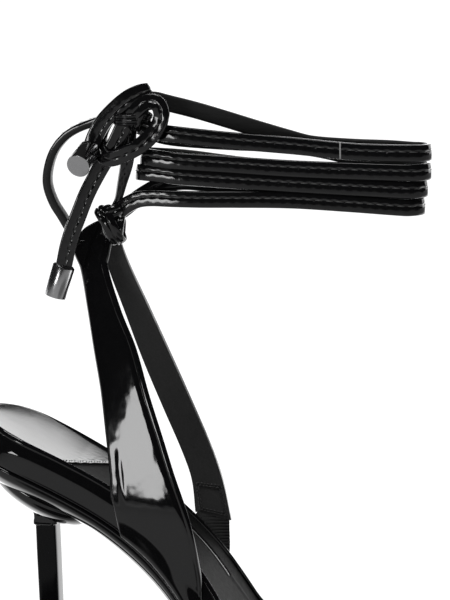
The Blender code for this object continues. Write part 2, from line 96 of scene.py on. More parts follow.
# The insole: its ends, level and dish under the rim, its margin inside the outline, and its slot and ridge
INSOLE_ENDS = 2.9
INSOLE_STEP = 0.8
INSOLE_COLUMNS = 81
INSOLE_LEVEL = -1.45
INSOLE_DISH = 0.5
INSOLE_MARGIN = 2.65
INSOLE_WALL = 0.6
LEAST_HALF = 0.4
INWARD = -1.0
SOFT_EDGE = 0.1
SLOT_PLACE = 7.6
SLOT_SLANT = 0.085
SLOT_START = 78.0
SLOT_END = 125.5
SLOT_DEPTH = 1.6
SLOT_HALF = 1.15
RIDGE_PLACE = 11.6
RIDGE_SLANT = 0.35
RIDGE_HEIGHT = 0.35
RIDGE_HALF = 1.6
RIDGE_LENGTH = 40.0
BEAD_ASIDE = 1.7
SLOT_BEAD = [(0.9, -0.3), (0.85, 0.1), (0.6, 0.2), (0, 0.22), (-0.6, 0.2), (-0.85, 0.1), (-0.9, -0.3)]

# The heel sock: it lies on the insole, climbs to the rim behind and ends in a stitched lip (height and width)
SOCK_START = 2.95
SOCK_FRONT = 51.0
SOCK_SLANT = 0.55
SOCK_WAVE = 0.45
SOCK_HALF = 20.0
SOCK_MARGIN = 2.7
SOCK_WALL = 0.4
SOCK_STAND = 0.45
SOCK_CLIMB = 0.85
CLIMB_FROM = 44.0
CLIMB_RUN = 26.0
SOCK_LIP = (0.25, 1.1)
SOCK_WRINKLE = 0.1
SOCK_STITCH = (0.62, 0.2, 0.18)
SOCK_SEAM = 1.3

# The heel: a boat-shaped cup under the sole, and a square post
CUP_BACK = 11.5
CUP_FRONT = 62.0
CUP_HALF = 20.4
CUP_DEPTH = 12.7
CUP_LIP = 28.0
CUP_SINE = 0.47
POST_PLACE = 26.6
POST_FOOT = 5.3
POST_RAKE = 2.4 / 78.7
POST_LONG = 4.0
POST_WIDE = 4.7
POST_SQUARE = 0.28
POST_TWIST = 0.065

# Foot of the quarter strap: depth under the rim, its edges along the sole and their stand off the band
STRAP_BASE = [
    (13.7, 76.5, 132.6, 0.3, 0.3), (12.4, 75.1, 130.6, 1.05, 1.3), (10, 72.4, 126.2, 1.2, 2.4),
    (6.5, 68.5, 119.5, 1.25, 3.1), (1, 62.5, 110.5, 1.25, 2.4),
]
STRAP_WALL = 1.6
STRAP_EDGE = 0.6
STRAP_ROLL = 0.6
STRAP_HEM = (1.7, 0.2)
STRAP_GLUED = 15
STRAP_FOLD = 199.2
CREASE_X = 59.4
CREASE_Z = 99.0
CREASE_DEPTH = 0.2
CREASE_LEAN = 0.12
# Above its foot: points of the back and the front edge, and how far the middle bulges out
STRAP = [
    ((55.6, -24.1, 98), (87, -27.7, 82.5), 0.7),
    ((54.9, -23.6, 103.5), (80.2, -26, 101.5), 0.8),
    ((53.2, -21.7, 116), (75.2, -23.6, 116), 0.8),
    ((50.8, -18.3, 132), (69.5, -19.8, 132), 0.7),
    ((47, -13.2, 150), (63.6, -14.4, 150), 0.6),
    ((44.2, -9.2, 164), (57.1, -9.9, 164), 0.5),
    ((40.6, -5.1, 180), (51, -5.4, 181), 0.3),
    ((37.7, -1.7, 186.2), (51.6, -5.1, 185.4), 0.3),
    ((38.7, -1.4, 190.8), (52.2, -4.8, 189), 0.3),
    ((41.6, -1.6, 194.8), (52.8, -4.4, 192.4), 0.3),
    ((46.2, -2.2, 197.6), (53.4, -4.1, 195.4), 0.2),
    ((50.4, -2.6, 199.2), (54.2, -3.6, 197.4), 0.1),
    ((52.4, -0.6, 199.8), (55.4, -0.6, 198), 0),
    ((51.4, 2.2, 197.4), (55.6, 2.2, 196), 0),
    ((48, 3.8, 190.4), (55.8, 3.8, 190), 0.1),
    ((49.6, 4.6, 181), (58.6, 4.6, 181), 0.2),
    ((55.6, 8.2, 162), (66.4, 8.2, 162), 0.4),
    ((62.6, 12.8, 140), (75.2, 12.8, 140), 0.5),
    ((70, 18, 119), (83.2, 18, 119), 0.5),
    ((77.4, 23.2, 98.6), (90.4, 23.2, 99), 0.4),
    ((81, 26, 86), (94.4, 26, 85), 0.2),
    ((82.4, 27.4, 71.6), (97.6, 27.4, 68.4), 0),
]
# The outer strap: degrees it leans in at each height and turns along the foot, from a mark on it. Its front
# edge curls in over a reach
STRAP_LEAN = [
    (36, 1), (60, 1), (76, 2), (80, 3), (84, 5), (88, 7.2), (92, 8.9), (96, 9.5), (110, 10),
    (120, 10.5), (130, 11.2), (140, 12), (150, 12.5), (164, 12.2), (182, 12), (200, 13),
]
STRAP_MARK = (67.0, -25.4, 92.0)
STRAP_TURN = [(36, -17), (55, -11), (70, -5.6), (82, -2.2), (110, 4.5)]
STRAP_CURL = (4.0, 1.1)

# The elastic under the strap's inner end, and the boxes of stitches that hold it
ELASTIC_BASE = [(1.5, 98, 120.5), (7, 102, 124), (12.5, 106, 127.5)]
ELASTIC_STAND = 1.05
ELASTIC_WALL = 1.2
ELASTIC_RIB = (1.3, 0.2)
ELASTIC_COLUMNS = 91
ELASTIC_TOP = (0.06, 0.94)
ELASTIC_TUCK = 0.33
BOX_STITCH = (0.68, 0.26, 0.24)
BOX_PITCH = 1.5
BOXES = [(0.14, 0.1, 0.9, 0.92), (0.2, 0.17, 0.84, 0.85)]

# The toe strap: its place along the sole, its rise over the foot and the depths of its glued ends
TOE_COLUMNS = 25
TOE_PLACE = (176.0, 205.0)
TOE_RISE = (23.0, 18.0)
TOE_DEPTHS = (13.2, 9.5, 6.0, 3.0)
TOE_STAND = 1.25
TOE_EDGE = 0.25

# The ties: a folded strip with one row of stitches
TIE_WIDTH = 6.7
TIE_THICK = 2.8
TIE_SIZE = (TIE_WIDTH, TIE_THICK, 0.0)
TIE_STEP = 0.7
TIE_TILT = 0.105
TIE_FLAT = 0.87
TIE_CROWN = 0.15
TIE_EDGE_POWER = 2.5
TIE_OUTER = (
    -1, -0.995, -0.98, -0.955, -0.92, -0.87, -0.7, -0.45, -0.2, 0, 0.2, 0.45, 0.7, 0.87, 0.92, 0.955,
    0.98, 0.995, 1,
)
TIE_INNER = (0.99, 0.96, 0.9, 0.6, 0.2, -0.2, -0.6, -0.9, -0.96, -0.99)
STITCH_PITCH = 4.0
STITCH_PLACE = 0.5
STITCH_GAP = 0.3
THREAD_HALF = (0.06, 0.2)
THREAD_SUNK = (0.14, 0.36)
SEAM_THREAD = (0.3, 0.12)
SEAM_SLANT = 0.1
# The furrow of the stitches, what each hole adds to it, and the dimple round a hole: depth and half width
FURROW = (0.12, 0.34)
PUCKER = (0.26, 0.2)
DIMPLE = (0.06, 1.3)
FURROW_STEPS = (-0.9, -0.6, -0.4, -0.2, 0.0, 0.2, 0.4, 0.6, 0.9)
HOOP_HALF = 6.5
HOOP_DEPTH = [(64, 3.6), (71, 4.8), (79, 5.9), (90, 6.5), (200, 6.5)]
# Turns round the ankle from the lowest: places in front, the right end, and places behind
TURNS = [
    ([(90, 209), (101, 209.2), (125, 209.4), (148, 208.4)], (169.6, 207.2),
     [(160, 208.6), (125, 213), (101, 215.6), (82, 217.4)]),
    ([(72, 218.8), (79, 218.1), (101, 217), (125, 215.9), (150, 214.9)], (170.6, 214.2),
     [(160, 215.4), (125, 219.4), (101, 221.6), (82, 223.8)]),
    ([(72, 224.8), (79, 224.1), (101, 223.1), (125, 221.9), (150, 221.3)], (171.8, 221),
     [(162, 222.4), (150, 224.8), (135, 228), (120, 229.8), (101, 230.4),
      (82, 231.4), (73, 232.6)]),
]
LEFT_HALF = 4.2
LEFT_ENDS = [68.0, 69.8]
# Routes of the ties, with faces and sizes (width, thickness, more crown) for those that turn over
WRAP_START = [
    (53.4, -4.3, 200), (56.4, -4.5, 203.4), (59.6, -4.4, 206), (64, -4.5, 208.2), (69.2, -5, 209),
    (78, -6, 209),
]
WRAP_END = [(66.5, 2.8, 235.2), (62.5, -0.5, 238.2)]
WRAP_TAIL = [
    (54, -2.4, 201), (58, -2.2, 204), (61.5, -2, 206.8), (65, -1.6, 209.4), (69, -1, 211.8),
    (74, 0, 213.8), (81, 1.6, 214.8), (90, 3.6, 214), (101, 5, 212.6), (125, 6, 211.2),
    (145, 6.2, 210.4),
]
TOP_WRAP_START = [
    (62.6, 0.2, 243.4), (65, 2.4, 246.4), (69, 4.6, 247), (74, 5.6, 245.8), (85.8, 6.3, 242.9),
    (98.8, 6.5, 239.2), (109, 6.5, 236.2), (123.3, 6.5, 232.2), (131.7, 6.5, 230.2),
    (147, 6.5, 229.2), (163, 6.5, 228.8),
]
TOP_TURN = ([(150, 228.9), (125, 230.9), (101, 232.6), (79, 234.6), (72, 235.4)], (171.8, 228.3))
TOP_WRAP_END = [(66.4, -4.6, 237), (62.8, -4.4, 239.2)]
TOP_SEAM = 144.5
HALTER = [
    (38.2, 1, 190), (42.5, 0.8, 190.4), (47, 0.4, 192.2), (51, -1.2, 196), (53.4, -2.6, 200.4),
    (54.4, -3.8, 205), (56, -4, 208.2), (57.6, -4, 214.6), (59.4, -3.9, 222), (60.5, -3.8, 229),
    (61, -3.8, 236.4),
]
HALTER_FACES = [(0.0, -0.2, 1.0)] * 4 + [(0.2, -0.8, 0.4)] + [(0.45, -0.88, 0.05)] * 6
HALTER_SIZES = [(4.6, 2.4, 0.0)] * 5 + [(2.4, 2.0, 0.0), (2.8, 2.0, 0.0), (3.8, 2.2, 0.0)]
HALTER_SIZES += [(5.0, 2.4, 0.0)] * 3
RING = [
    (62, -7.4, 241.5), (64.8, -8.6, 244.6), (68.3, -9.2, 247.2), (71.4, -9.6, 247.6),
    (73.6, -9.9, 246), (74.4, -10.2, 241.8), (71.8, -10.5, 236.2), (66.7, -10.8, 231.1),
    (60.5, -11, 227.5), (54.4, -10.6, 225.2), (51.2, -9.2, 226), (49.6, -5.4, 229),
    (48.6, -3.4, 232.8), (50.8, -3, 238.6), (54.4, -3.6, 242.6), (58.4, -4, 242.8),
]
RING_FACES = [
    (0.1, -0.9, 0.4), (0.1, -0.9, 0.45), (0.1, -0.9, 0.45), (0.1, -0.95, 0.3), (0.05, -0.98, 0.2),
    (-0.1, -1, 0.085), (-0.13, -1, 0.085), (-0.05, -1, 0.02), (0, -0.97, -0.25), (-0.1, -0.97, -0.2),
    (-0.3, -0.95, 0), (-0.5, -0.85, 0), *[(0, -1, 0.1)] * 4,
]
LOOP = [
    (58, -2, 241), (52, 0, 240.4), (45.6, 0.8, 238.2), (39, 1, 235.6), (33.9, 1.2, 232.2),
    (29.4, 1.4, 226.4), (26.9, 1.6, 219), (26.6, 1.6, 212.6), (29, 1.4, 205.6), (32.5, 1.2, 200),
    (35.8, 1, 194.4), (38.4, 0.9, 189.8),
]
SHORT_END = [
    (60.4, -2, 244), (64.4, -1.6, 248.6), (67.4, -2.6, 251.4), (68, -4.6, 252.2), (66, -5.8, 251.5),
    (63.2, -6.1, 250), (59.6, -6.3, 247.9), (54.5, -6.5, 243.4), (50.6, -6.7, 239), (47.5, -7, 233.5),
    (46.4, -7.6, 230.4), (45.5, -8.8, 228.2),
]
SHORT_FACES = [(-0.3, 0.9, 0.3), (0.0, 0.9, 0.3), (0.7, 0.4, 0.6), (0.75, -0.4, 0.55), (0.3, -1.0, 0.3)]
SHORT_FACES += [(0.1, -1.0, 0.14)] * 5 + [(0.0, -0.9, 0.4), (-0.2, -0.55, 0.8)]
SHORT_SIZES = [(width, TIE_THICK, 0.0) for width in [TIE_WIDTH, 5.4, 4.2, 4.4, 5.8] + [TIE_WIDTH] * 7]
LONG_END = [
    (59.3, -6, 239.2), (56.5, -6.2, 232.9), (53, -6.6, 226.2), (50.4, -7, 222.4), (46.2, -7.6, 214.9),
    (43.4, -8.1, 209.1), (40.7, -8.6, 202.1), (38.2, -9.1, 195.7), (36.4, -9.5, 189.7),
    (34.9, -9.8, 182.4),
]
LONG_FACES = [(0.22, -1.0, 0.14)] * len(LONG_END)

# The metal tips: radius and height of the turned profile
TIP_PROFILE = [
    (0, 2.6), (3.5, 2.5), (3.72, 0.3), (3.9, 0), (4.1, 0.12), (4.2, 0.45), (4.3, 12.5), (4.28, 12.64),
    (4.2, 12.72), (4.1, 12.75), (0, 12.75),
]
TIP_SCALE = 1.1
TIP_GAP = 0.6
SHORT_TIP_AXIS = Vector((-0.18, -0.91, -0.36)).normalized()
LONG_TIP_AXIS = Vector((-0.28, 0.0, -0.96)).normalized()

# The knots: place and half sizes of the core, then each strip's shift, direction, half sizes and width
STRAP_KNOT = ((53.4, -4.6, 198), (4.4, 3, 6.6), [
    ((0.1, -0.1, -0.2), (0.42, 0, -0.91), (7.4, 4.2), 6),
    ((-2.3, 0.2, 2.6), (0.62, 0, -0.78), (4.6, 3.7), 4.6),
    ((3.4, 0.2, -2), (0.1, 0, 1), (5, 3.2), 3.4),
    ((-0.4, 0.2, 5), (0.92, 0, 0.4), (4.6, 3.3), 4.8),
])
BOW_KNOT = ((61.2, -5.4, 240.4), (4.6, 2.6, 4.4), [
    ((-0.4, -0.5, 1), (1, 0, 0.04), (5.2, 3.6), 2.4),
    ((-0.4, -0.5, -1), (1, 0, 0.04), (5.2, 3.6), 2.4),
    ((3.4, 0, 0.8), (0.35, 0, 0.94), (5.2, 3.2), 4.8),
    ((4.4, 0.4, 1.8), (0.9, 0, -0.4), (3.6, 2.6), 4),
])
KNOT_STEPS = 48
KNOT_THICK = 2.2
KNOT_FLAT = 0.2
KNOT_FURROW = (0.3, 0.4)


def place(point):
    """Point in millimetres from the back of the heel, in the part's frame in metres."""
    return Vector((point[0] + HEEL_BACK_X, point[1], point[2])) * MM


def rim_line(along):
    """Place and slope of the sole's rim line at a distance along the foot."""
    x, z = 0.0, 0.0
    for row, after in zip(SOLE, SOLE[1:]):
        length = min(along, after[ALONG]) - row[ALONG]
        start = math.radians(row[SLOPE])
        bend = math.radians(after[SLOPE] - row[SLOPE]) / (after[ALONG] - row[ALONG])
        end = start + bend * length
        if abs(bend) < 1e-9:
            x += length * math.cos(start)
            z -= length * math.sin(start)
        else:
            x += (math.sin(end) - math.sin(start)) / bend
            z += (math.cos(end) - math.cos(start)) / bend
        if along <= after[ALONG]:
            break
    return x, z, end


def on_sole(along, side, lift):
    """Point along the sole, to one side and above or below the rim line."""
    x, z, slope = rim_line(along)
    return place((x + lift * math.sin(slope), side, z + HEEL_BACK_HEIGHT + lift * math.cos(slope)))


def cubic(t, span, start, end, slope, end_slope):
    """Value at a share t of a span, between two values with their slopes."""
    return ((2 * t ** 3 - 3 * t ** 2 + 1) * start + (t ** 3 - 2 * t ** 2 + t) * span * slope
            + (3 * t ** 2 - 2 * t ** 3) * end + (t ** 3 - t ** 2) * span * end_slope)


def read_table(pairs, spot):
    """Read a table of pairs with a cubic that keeps its slope across rows."""
    spot = min(max(spot, pairs[0][0]), pairs[-1][0])
    index = min(bisect_right(pairs, spot, key=lambda pair: pair[0]), len(pairs) - 1) - 1

    def tangent(i):
        low, high = max(i - 1, 0), min(i + 1, len(pairs) - 1)
        return (pairs[high][1] - pairs[low][1]) / (pairs[high][0] - pairs[low][0])

    (x0, y0), (x1, y1) = pairs[index], pairs[index + 1]
    return cubic((spot - x0) / (x1 - x0), x1 - x0, y0, y1, tangent(index), tangent(index + 1))


def swell(distance, width, power=2):
    """One at a place, falling smoothly to nothing past a width."""
    return math.exp(-(distance / width) ** power)


def sole_column(column, along):
    """Read one column of the sole's table."""
    return read_table([(row[ALONG], row[column]) for row in SOLE], along)


def end_round(distance, radius, power):
    """Share of the full width at a distance from a rounded end."""
    left = min(max(0.0, 1.0 - distance / radius), 1.0)
    return (1.0 - left ** power) ** (1.0 / power)


def half_width(column, along):
    """Half width of the sole's outline on its outer or inner side."""
    heel = end_round(along, HEEL_END_ROUND, HEEL_END_POWER)
    toe = end_round(SOLE_LENGTH - along, TOE_END_ROUND, TOE_END_POWER)
    return sole_column(column, along) * heel * toe


def sole_outline(count=120):
    """Points round the sole with their outward directions, from the heel round the outer side."""
    places = [SOLE_LENGTH / 2 * (1 - math.cos(math.pi * i / count)) for i in range(count + 1)]
    points = [(a, -half_width(OUTER, a)) for a in places]
    points += [(a, half_width(INNER, a)) for a in reversed(places[1:-1])]
    outline = []
    for i, (along, side) in enumerate(points):
        before, after = points[i - 1], points[(i + 1) % len(points)]
        run = Vector((after[0] - before[0], after[1] - before[1])).normalized()
        outline.append((along, side, run.y, -run.x))
    return outline


def smooth_rows(rows, step):
    """Read rows smoothly, about one for each step. A row of up to three holds its path's point first."""
    middle = len(rows[0]) // 2 if len(rows[0]) > 3 else 0
    marks = [0.0]
    for row, after in zip(rows, rows[1:]):
        marks.append(marks[-1] + (after[middle] - row[middle]).length)

    def slope(i, j):
        low, high = max(i - 1, 0), min(i + 1, len(rows) - 1)
        return (rows[high][j] - rows[low][j]) / (marks[high] - marks[low])

    count = max(2, round(marks[-1] / step))
    read = []
    for n in range(count + 1):
        mark = marks[-1] * n / count
        i = max(k for k in range(len(rows) - 1) if marks[k] <= mark + 1e-12)
        span = marks[i + 1] - marks[i]
        t = (mark - marks[i]) / span
        read.append([cubic(t, span, rows[i][j], rows[i + 1][j], slope(i, j), slope(i + 1, j))
                     for j in range(len(rows[0]))])
    return read


def smooth_profile(points, step):
    """Read a smooth line through a section's points, in millimetres."""
    rows = smooth_rows([[Vector((inset, lift, 0.0))] for inset, lift in points], step)
    return [(row[0].x, row[0].y) for row in rows]


def draw_rows(bm, rows, closed=False, finish=0):
    """Bend a flat grid through rows of points. A closed row joins its last point to its first."""
    if closed:
        rows = [[*row, row[0]] for row in rows]
    columns = len(rows[0])
    finishes = finish if isinstance(finish, list) else [finish] * columns
    made = bmesh.ops.create_grid(bm, x_segments=columns - 1, y_segments=len(rows) - 1, size=1.0)["verts"]
    grid = [made[n:n + columns] for n in range(0, len(made), columns)]
    for verts, row in zip(grid, rows):
        for vert, point, index in zip(verts, row, finishes):
            vert.co = point
            for face in vert.link_faces:
                face.material_index = index
    if closed:
        bmesh.ops.remove_doubles(bm, verts=made, dist=1e-7)
    return grid


def close_ends(bm):
    """Fill the open ends of a sweep."""
    open_edges = [edge for edge in bm.edges if edge.is_boundary]
    bmesh.ops.holes_fill(bm, edges=open_edges, sides=0)


def from_rows(rows, tube=False):
    """New bmesh through rows of points: an open sheet, or a tube with closed ends."""
    bm = bmesh.new()
    draw_rows(bm, rows, closed=tube)
    if tube:
        close_ends(bm)
    return bm


def put(name, data):
    """Link a new object with its data into the scene."""
    made = bpy.data.objects.new(name, data)
    bpy.context.scene.collection.objects.link(made)
    return made


def put_mesh(bm, name, materials):
    """Make a bmesh a smooth object."""
    mesh = bpy.data.meshes.new(name)
    bm.to_mesh(mesh)
    bm.free()
    for material in materials:
        mesh.materials.append(material)
    mesh.shade_smooth()
    return put(name, mesh)


def open_piece(bm, name, finishes, replaced=()):
    """Make a bmesh a piece that rides on the part, with its faces left as they look."""
    piece = put_mesh(bm, name, [FINISHES[finish] for finish in finishes])
    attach(piece, "root")
    if replaced:
        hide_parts(*replaced)
    return piece


def add_piece(bm, name, finishes, replaced=(), sharp=60):
    """Join the seams of a bmesh and make it a piece with its faces turned outwards."""
    bmesh.ops.remove_doubles(bm, verts=bm.verts[:], dist=1e-7)
    bmesh.ops.recalc_face_normals(bm, faces=bm.faces[:])
    piece = open_piece(bm, name, finishes, replaced)
    piece.data.set_sharp_from_angle(angle=math.radians(sharp))
    return piece


def add_wall(piece, thickness, offset=0.0, edge_round=None):
    """Give a sheet its wall. With round edges, its inside and edges take the second and third material."""
    wall = piece.modifiers.new("wall", "SOLIDIFY")
    wall.thickness = thickness * MM
    wall.offset = offset
    if edge_round is None:
        return
    wall.material_offset = 1
    wall.material_offset_rim = 2
    soft = piece.modifiers.new("edge", "BEVEL")
    soft.width = edge_round * MM
    soft.segments = 3
    soft.limit_method = "ANGLE"
    soft.angle_limit = math.radians(50)


class Field:
    """A value in a material: sums on it add Math nodes."""

    def __init__(self, finish, socket):
        self.finish = finish
        self.socket = socket

    def __radd__(self, other):
        return self.finish.maths("ADD", self, other)

    def __rsub__(self, other):
        return self.finish.maths("SUBTRACT", other, self)

    def __mul__(self, other):
        return self.finish.maths("MULTIPLY", self, other)


class Finish:
    """One material and the nodes that make it."""

    def __init__(self, name, **constants):
        self.material = bpy.data.materials.new(name)
        self.material.use_nodes = True
        self.tree = self.material.node_tree
        self.shader = self.tree.nodes["Principled BSDF"]
        self.paint(**constants)

    def feed(self, node, inputs):
        """Set sockets to constants, or link them to fields."""
        for key, value in inputs.items():
            if isinstance(value, Field):
                self.tree.links.new(value.socket, node.inputs[key])
            else:
                node.inputs[key].default_value = value

    def node(self, kind, settings=(), inputs=(), output=0):
        """Any node: its settings are set first, then its sockets."""
        made = self.tree.nodes.new(kind)
        for key, value in dict(settings).items():
            setattr(made, key, value)
        self.feed(made, dict(inputs))
        return Field(self, made.outputs[output])

    def maths(self, operation, first, second):
        return self.node("ShaderNodeMath", {"operation": operation}, {0: first, 1: second})

    def spot(self):
        return self.node("ShaderNodeTexCoord", output="Object")

    def grain(self, scale, detail=2.0, rough=0.5, stretch=None):
        """Noise over the surface, from 0 to 1. Stretch squeezes it along the axes."""
        where = self.spot()
        if stretch:
            where = self.node("ShaderNodeMapping", inputs={"Vector": where, "Scale": stretch})
        return self.node("ShaderNodeTexNoise", inputs={"Vector": where, "Scale": scale, "Detail": detail,
                                                       "Roughness": rough})

    def ramp(self, value, low, high):
        """Smooth step from 0 to 1 between two values."""
        return self.node("ShaderNodeMapRange", {"interpolation_type": "SMOOTHSTEP"},
                         {"Value": value, "From Min": low, "From Max": high})

    def blend(self, factor, first, second):
        """Colour between two colours."""
        return self.node("ShaderNodeMix", {"data_type": "RGBA"}, {"Factor": factor, 6: first, 7: second},
                         output=2)

    def shape(self, height, distance):
        """Bump of a height field, whose full height is a distance in metres."""
        bump = self.node("ShaderNodeBump", inputs={"Height": height, "Distance": distance, "Strength": 1.0})
        self.feed(self.shader, {"Normal": bump})

    def paint(self, **fields):
        """Feed the shader, with each socket's name written with underscores."""
        self.feed(self.shader, {key.replace("_", " "): value for key, value in fields.items()})
        return self.material


def grey(value, blue=None):
    """Colour of a grey, or of one with its own share of blue."""
    return (value, value, value if blue is None else blue, 1)


def make_finish(name, relief, tone, dark, light, gloss, **constants):
    """Material whose relief, colour and roughness each follow a grain of its own."""
    finish = Finish(name, **constants)
    if relief:
        depth, *grain = relief
        finish.shape(finish.grain(*grain), depth)
    smooth, more, *grain = gloss
    return finish.paint(Base_Color=finish.blend(finish.grain(*tone), dark, light),
                        Roughness=smooth + finish.grain(*grain) * more)


# In order: depth and grain of the relief, grain and two ends of the colour, least roughness, what a grain
# adds to it and that grain
INK = grey(0.0025, 0.003)
SOFT_INK = grey(0.005, 0.0055)
FINISHES = {
    "patent": make_finish("patent leather", (9e-5, 70, 1, 0.4), (300, 3), INK, SOFT_INK,
                          (0.03, 0.04, 900, 2), IOR=1.5),
    "tie": make_finish("tie patent", (3e-5, 330, 2, 0.5), (420, 3), INK, grey(0.006, 0.0065),
                       (0.06, 0.06, 900, 2), IOR=1.5),
    "back": make_finish("tie lining", (5e-5, 900, 3, 0.6, (0.08, 1, 1)), (900, 4, 0.7, (0.1, 1, 1)),
                        grey(0.008), grey(0.02), (0.38, 0.15, 700, 2), IOR=1.45, Specular_IOR_Level=0.25),
    "cover": make_finish("heel cover", (5e-5, 90, 1, 0.4), (300, 3), INK, SOFT_INK,
                         (0.05, 0.05, 700, 2), IOR=1.24),
    "edge": make_finish("painted edge", (3e-5, 1400, 2), (700, 2), grey(0.004), grey(0.009),
                        (0.14, 0.12, 900, 2), IOR=1.5),
    "lining": make_finish("strap lining", (5e-5, 2200, 3), (1300, 4, 0.7), grey(0.045), grey(0.08),
                          (0.62, 0.2, 600, 2), IOR=1.4, Specular_IOR_Level=0.35),
    "sock": make_finish("heel sock", (1.5e-5, 110, 1, 0.4, (1, 1.6, 1)), (900, 3), grey(0.016, 0.017),
                        grey(0.03, 0.031), (0.1, 0.06, 160, 3), IOR=1.5),
    "satin": make_finish("insole satin", (4e-5, 1500, 3), (800, 4, 0.6), grey(0.009), grey(0.016),
                         (0.46, 0.15, 500, 2), IOR=1.45, Specular_IOR_Level=0.04),
    "elastic": make_finish("ribbed elastic", (8e-5, 2600, 3, 0.6, (3, 1, 1)), (2400, 3), grey(0.02),
                           grey(0.055), (0.75, 0.2, 900, 2), IOR=1.4, Specular_IOR_Level=0.25),
    "thread": make_finish("thread", (5e-5, 5200, 2, 0.5, (1, 1, 2)), (3000, 2), grey(0.02), grey(0.06),
                          (0.34, 0.15, 2000, 2), IOR=1.5),
    "metal": make_finish("gunmetal", (4e-6, 2600, 2, 0.5, (1, 1, 0.2)), (500, 3), grey(0.34, 0.345),
                         grey(0.4, 0.405), (0.14, 0.1, 1200, 3), Metallic=1.0),
    "rubber": make_finish("heel rubber", (1e-4, 1800, 3), (900, 3), grey(0.008), grey(0.016),
                          (0.55, 0.2, 700, 2), IOR=1.45, Specular_IOR_Level=0.4),
    "seam": make_finish("tie seam", None, (3000, 2), grey(0.2), grey(0.5), (0.35, 0.1, 2000, 2), IOR=1.5),
}


# Ties

def tie_section(width, thick, furrow, flat=TIE_FLAT, crown=TIE_CROWN):
    """Section of a tie: places across its width and out of its face, closer together at its furrow."""
    near = [(furrow + step) * 2 / width for step in FURROW_STEPS]
    outer = [(share, tie_height(share, flat, crown)) for share in sorted([*TIE_OUTER, *near])]
    inner = [(share, -tie_height(share, flat, crown)) for share in TIE_INNER]
    return [(share * width / 2, out * thick / 2) for share, out in outer + inner]


def tie_height(share, flat, crown):
    """How full a tie is at a share of its half width: a low crown that drops away past its flat part."""
    edge = max(0.0, (abs(share) - flat) / (1 - flat))
    return (1 - crown * share ** 2) * (1 - min(1.0, edge) ** TIE_EDGE_POWER) ** (1 / TIE_EDGE_POWER)


def stitch_groove(across, run):
    """Depth of the stitched furrow at a place across the tie and along it, with a pucker at each hole."""
    pucker = 1.0 - abs(math.sin(math.pi * run / STITCH_PITCH)) ** 0.7
    furrow = (FURROW[0] + PUCKER[0] * pucker) * swell(across, FURROW[1] + PUCKER[1] * pucker)
    return furrow + DIMPLE[0] * pucker * swell(across, DIMPLE[1])


def thread_ring(centre, across, out):
    """Six points round a thread, with its half sizes as two vectors."""
    angles = [math.pi * step / 3 for step in range(6)]
    return [centre + across * math.cos(angle) + out * math.sin(angle) for angle in angles]


def tie_frames(path, faces, flip):
    """Tangent, face and upward directions along a tie's path. A tie with no faces stands on edge."""
    frames = []
    for i, point in enumerate(path):
        ahead = (path[min(i + 1, len(path) - 1)] - path[max(i - 1, 0)]).normalized()
        face = faces[i] if faces else ahead.cross(UP) * flip + UP * TIE_TILT
        face = (face - ahead * face.dot(ahead)).normalized()
        frames.append((ahead, face, face.cross(ahead) * flip))
    return frames


def path_runs(path):
    """Length of a path up to each of its points, in millimetres."""
    runs = [0.0]
    for before, point in zip(path, path[1:]):
        runs.append(runs[-1] + (point - before).length / MM)
    return runs


def make_tie(route, faces=None, widths=None, furrow=STITCH_PLACE, sewn=True, flip=1.0, seam=None, bare=0):
    """Sweep a stitched tie along a route. Returns its bmesh and its path."""
    rows = []
    for i, point in enumerate(route):
        face = Vector(faces[i]) if faces else Vector((0.0, 0.0, 0.0))
        size = Vector(widths[i]) if widths else Vector(TIE_SIZE)
        rows.append([place(point), face, size])
    rows = smooth_rows(rows, TIE_STEP * MM)
    path = [row[0] for row in rows]
    frames = tie_frames(path, [row[1] for row in rows] if faces else None, flip)
    rings = []
    for (point, face, size), (ahead, out_of, up), run in zip(rows, frames, path_runs(path)):
        ring = []
        for across, out in tie_section(size.x, size.y, furrow, crown=TIE_CROWN + size.z):
            depth = stitch_groove(across - furrow, run) if out > 0 else 0.0
            ring.append(point + up * across * MM + out_of * (out - depth) * MM)
        rings.append(ring)
    bm = bmesh.new()
    inner = len(TIE_INNER)
    draw_rows(bm, rings, closed=True, finish=[0] * (len(rings[0]) - inner) + [2] * (inner + 1))
    if sewn:
        sew_tie(bm, path[:len(path) - bare], frames, [row[2] for row in rows], furrow)
    if seam:
        front = [i for i, (ahead, face, up) in enumerate(frames) if face.y < -0.5]
        add_seam(bm, path, frames, min(front, key=lambda i: abs(path[i].x / MM - HEEL_BACK_X - seam)))
    close_ends(bm)
    return bm, path


def sew_tie(bm, path, frames, sizes, furrow):
    """Lay a thread in the furrow of a tie, plump at each stitch and sunk between them."""
    rings = []
    for point, (ahead, face, up), size, run in zip(path, frames, sizes, path_runs(path)):
        plump = max(0.0, abs(math.sin(math.pi * run / STITCH_PITCH)) - STITCH_GAP) ** 0.6 * 1.24
        out = size.y / 2 - THREAD_SUNK[0] - THREAD_SUNK[1] * (1 - plump)
        half = (THREAD_HALF[0] + THREAD_HALF[1] * plump) * MM
        rings.append(thread_ring(point + (up * furrow + face * out) * MM, up * half, face * half))
    draw_rows(bm, rings, closed=True, finish=1)


def add_seam(bm, path, frames, index):
    """A thread across the face of a tie, where two lengths of it are joined."""
    ahead, face, up = frames[index]
    wide, high = SEAM_THREAD
    rings = []
    for across, out in tie_section(TIE_WIDTH, TIE_THICK, 0.0)[2:-len(TIE_INNER) - 2]:
        centre = path[index] + (up * across + face * out + ahead * SEAM_SLANT * across) * MM
        rings.append(thread_ring(centre, ahead * wide * MM, face * high * MM))
    draw_rows(bm, rings, closed=True, finish=3)


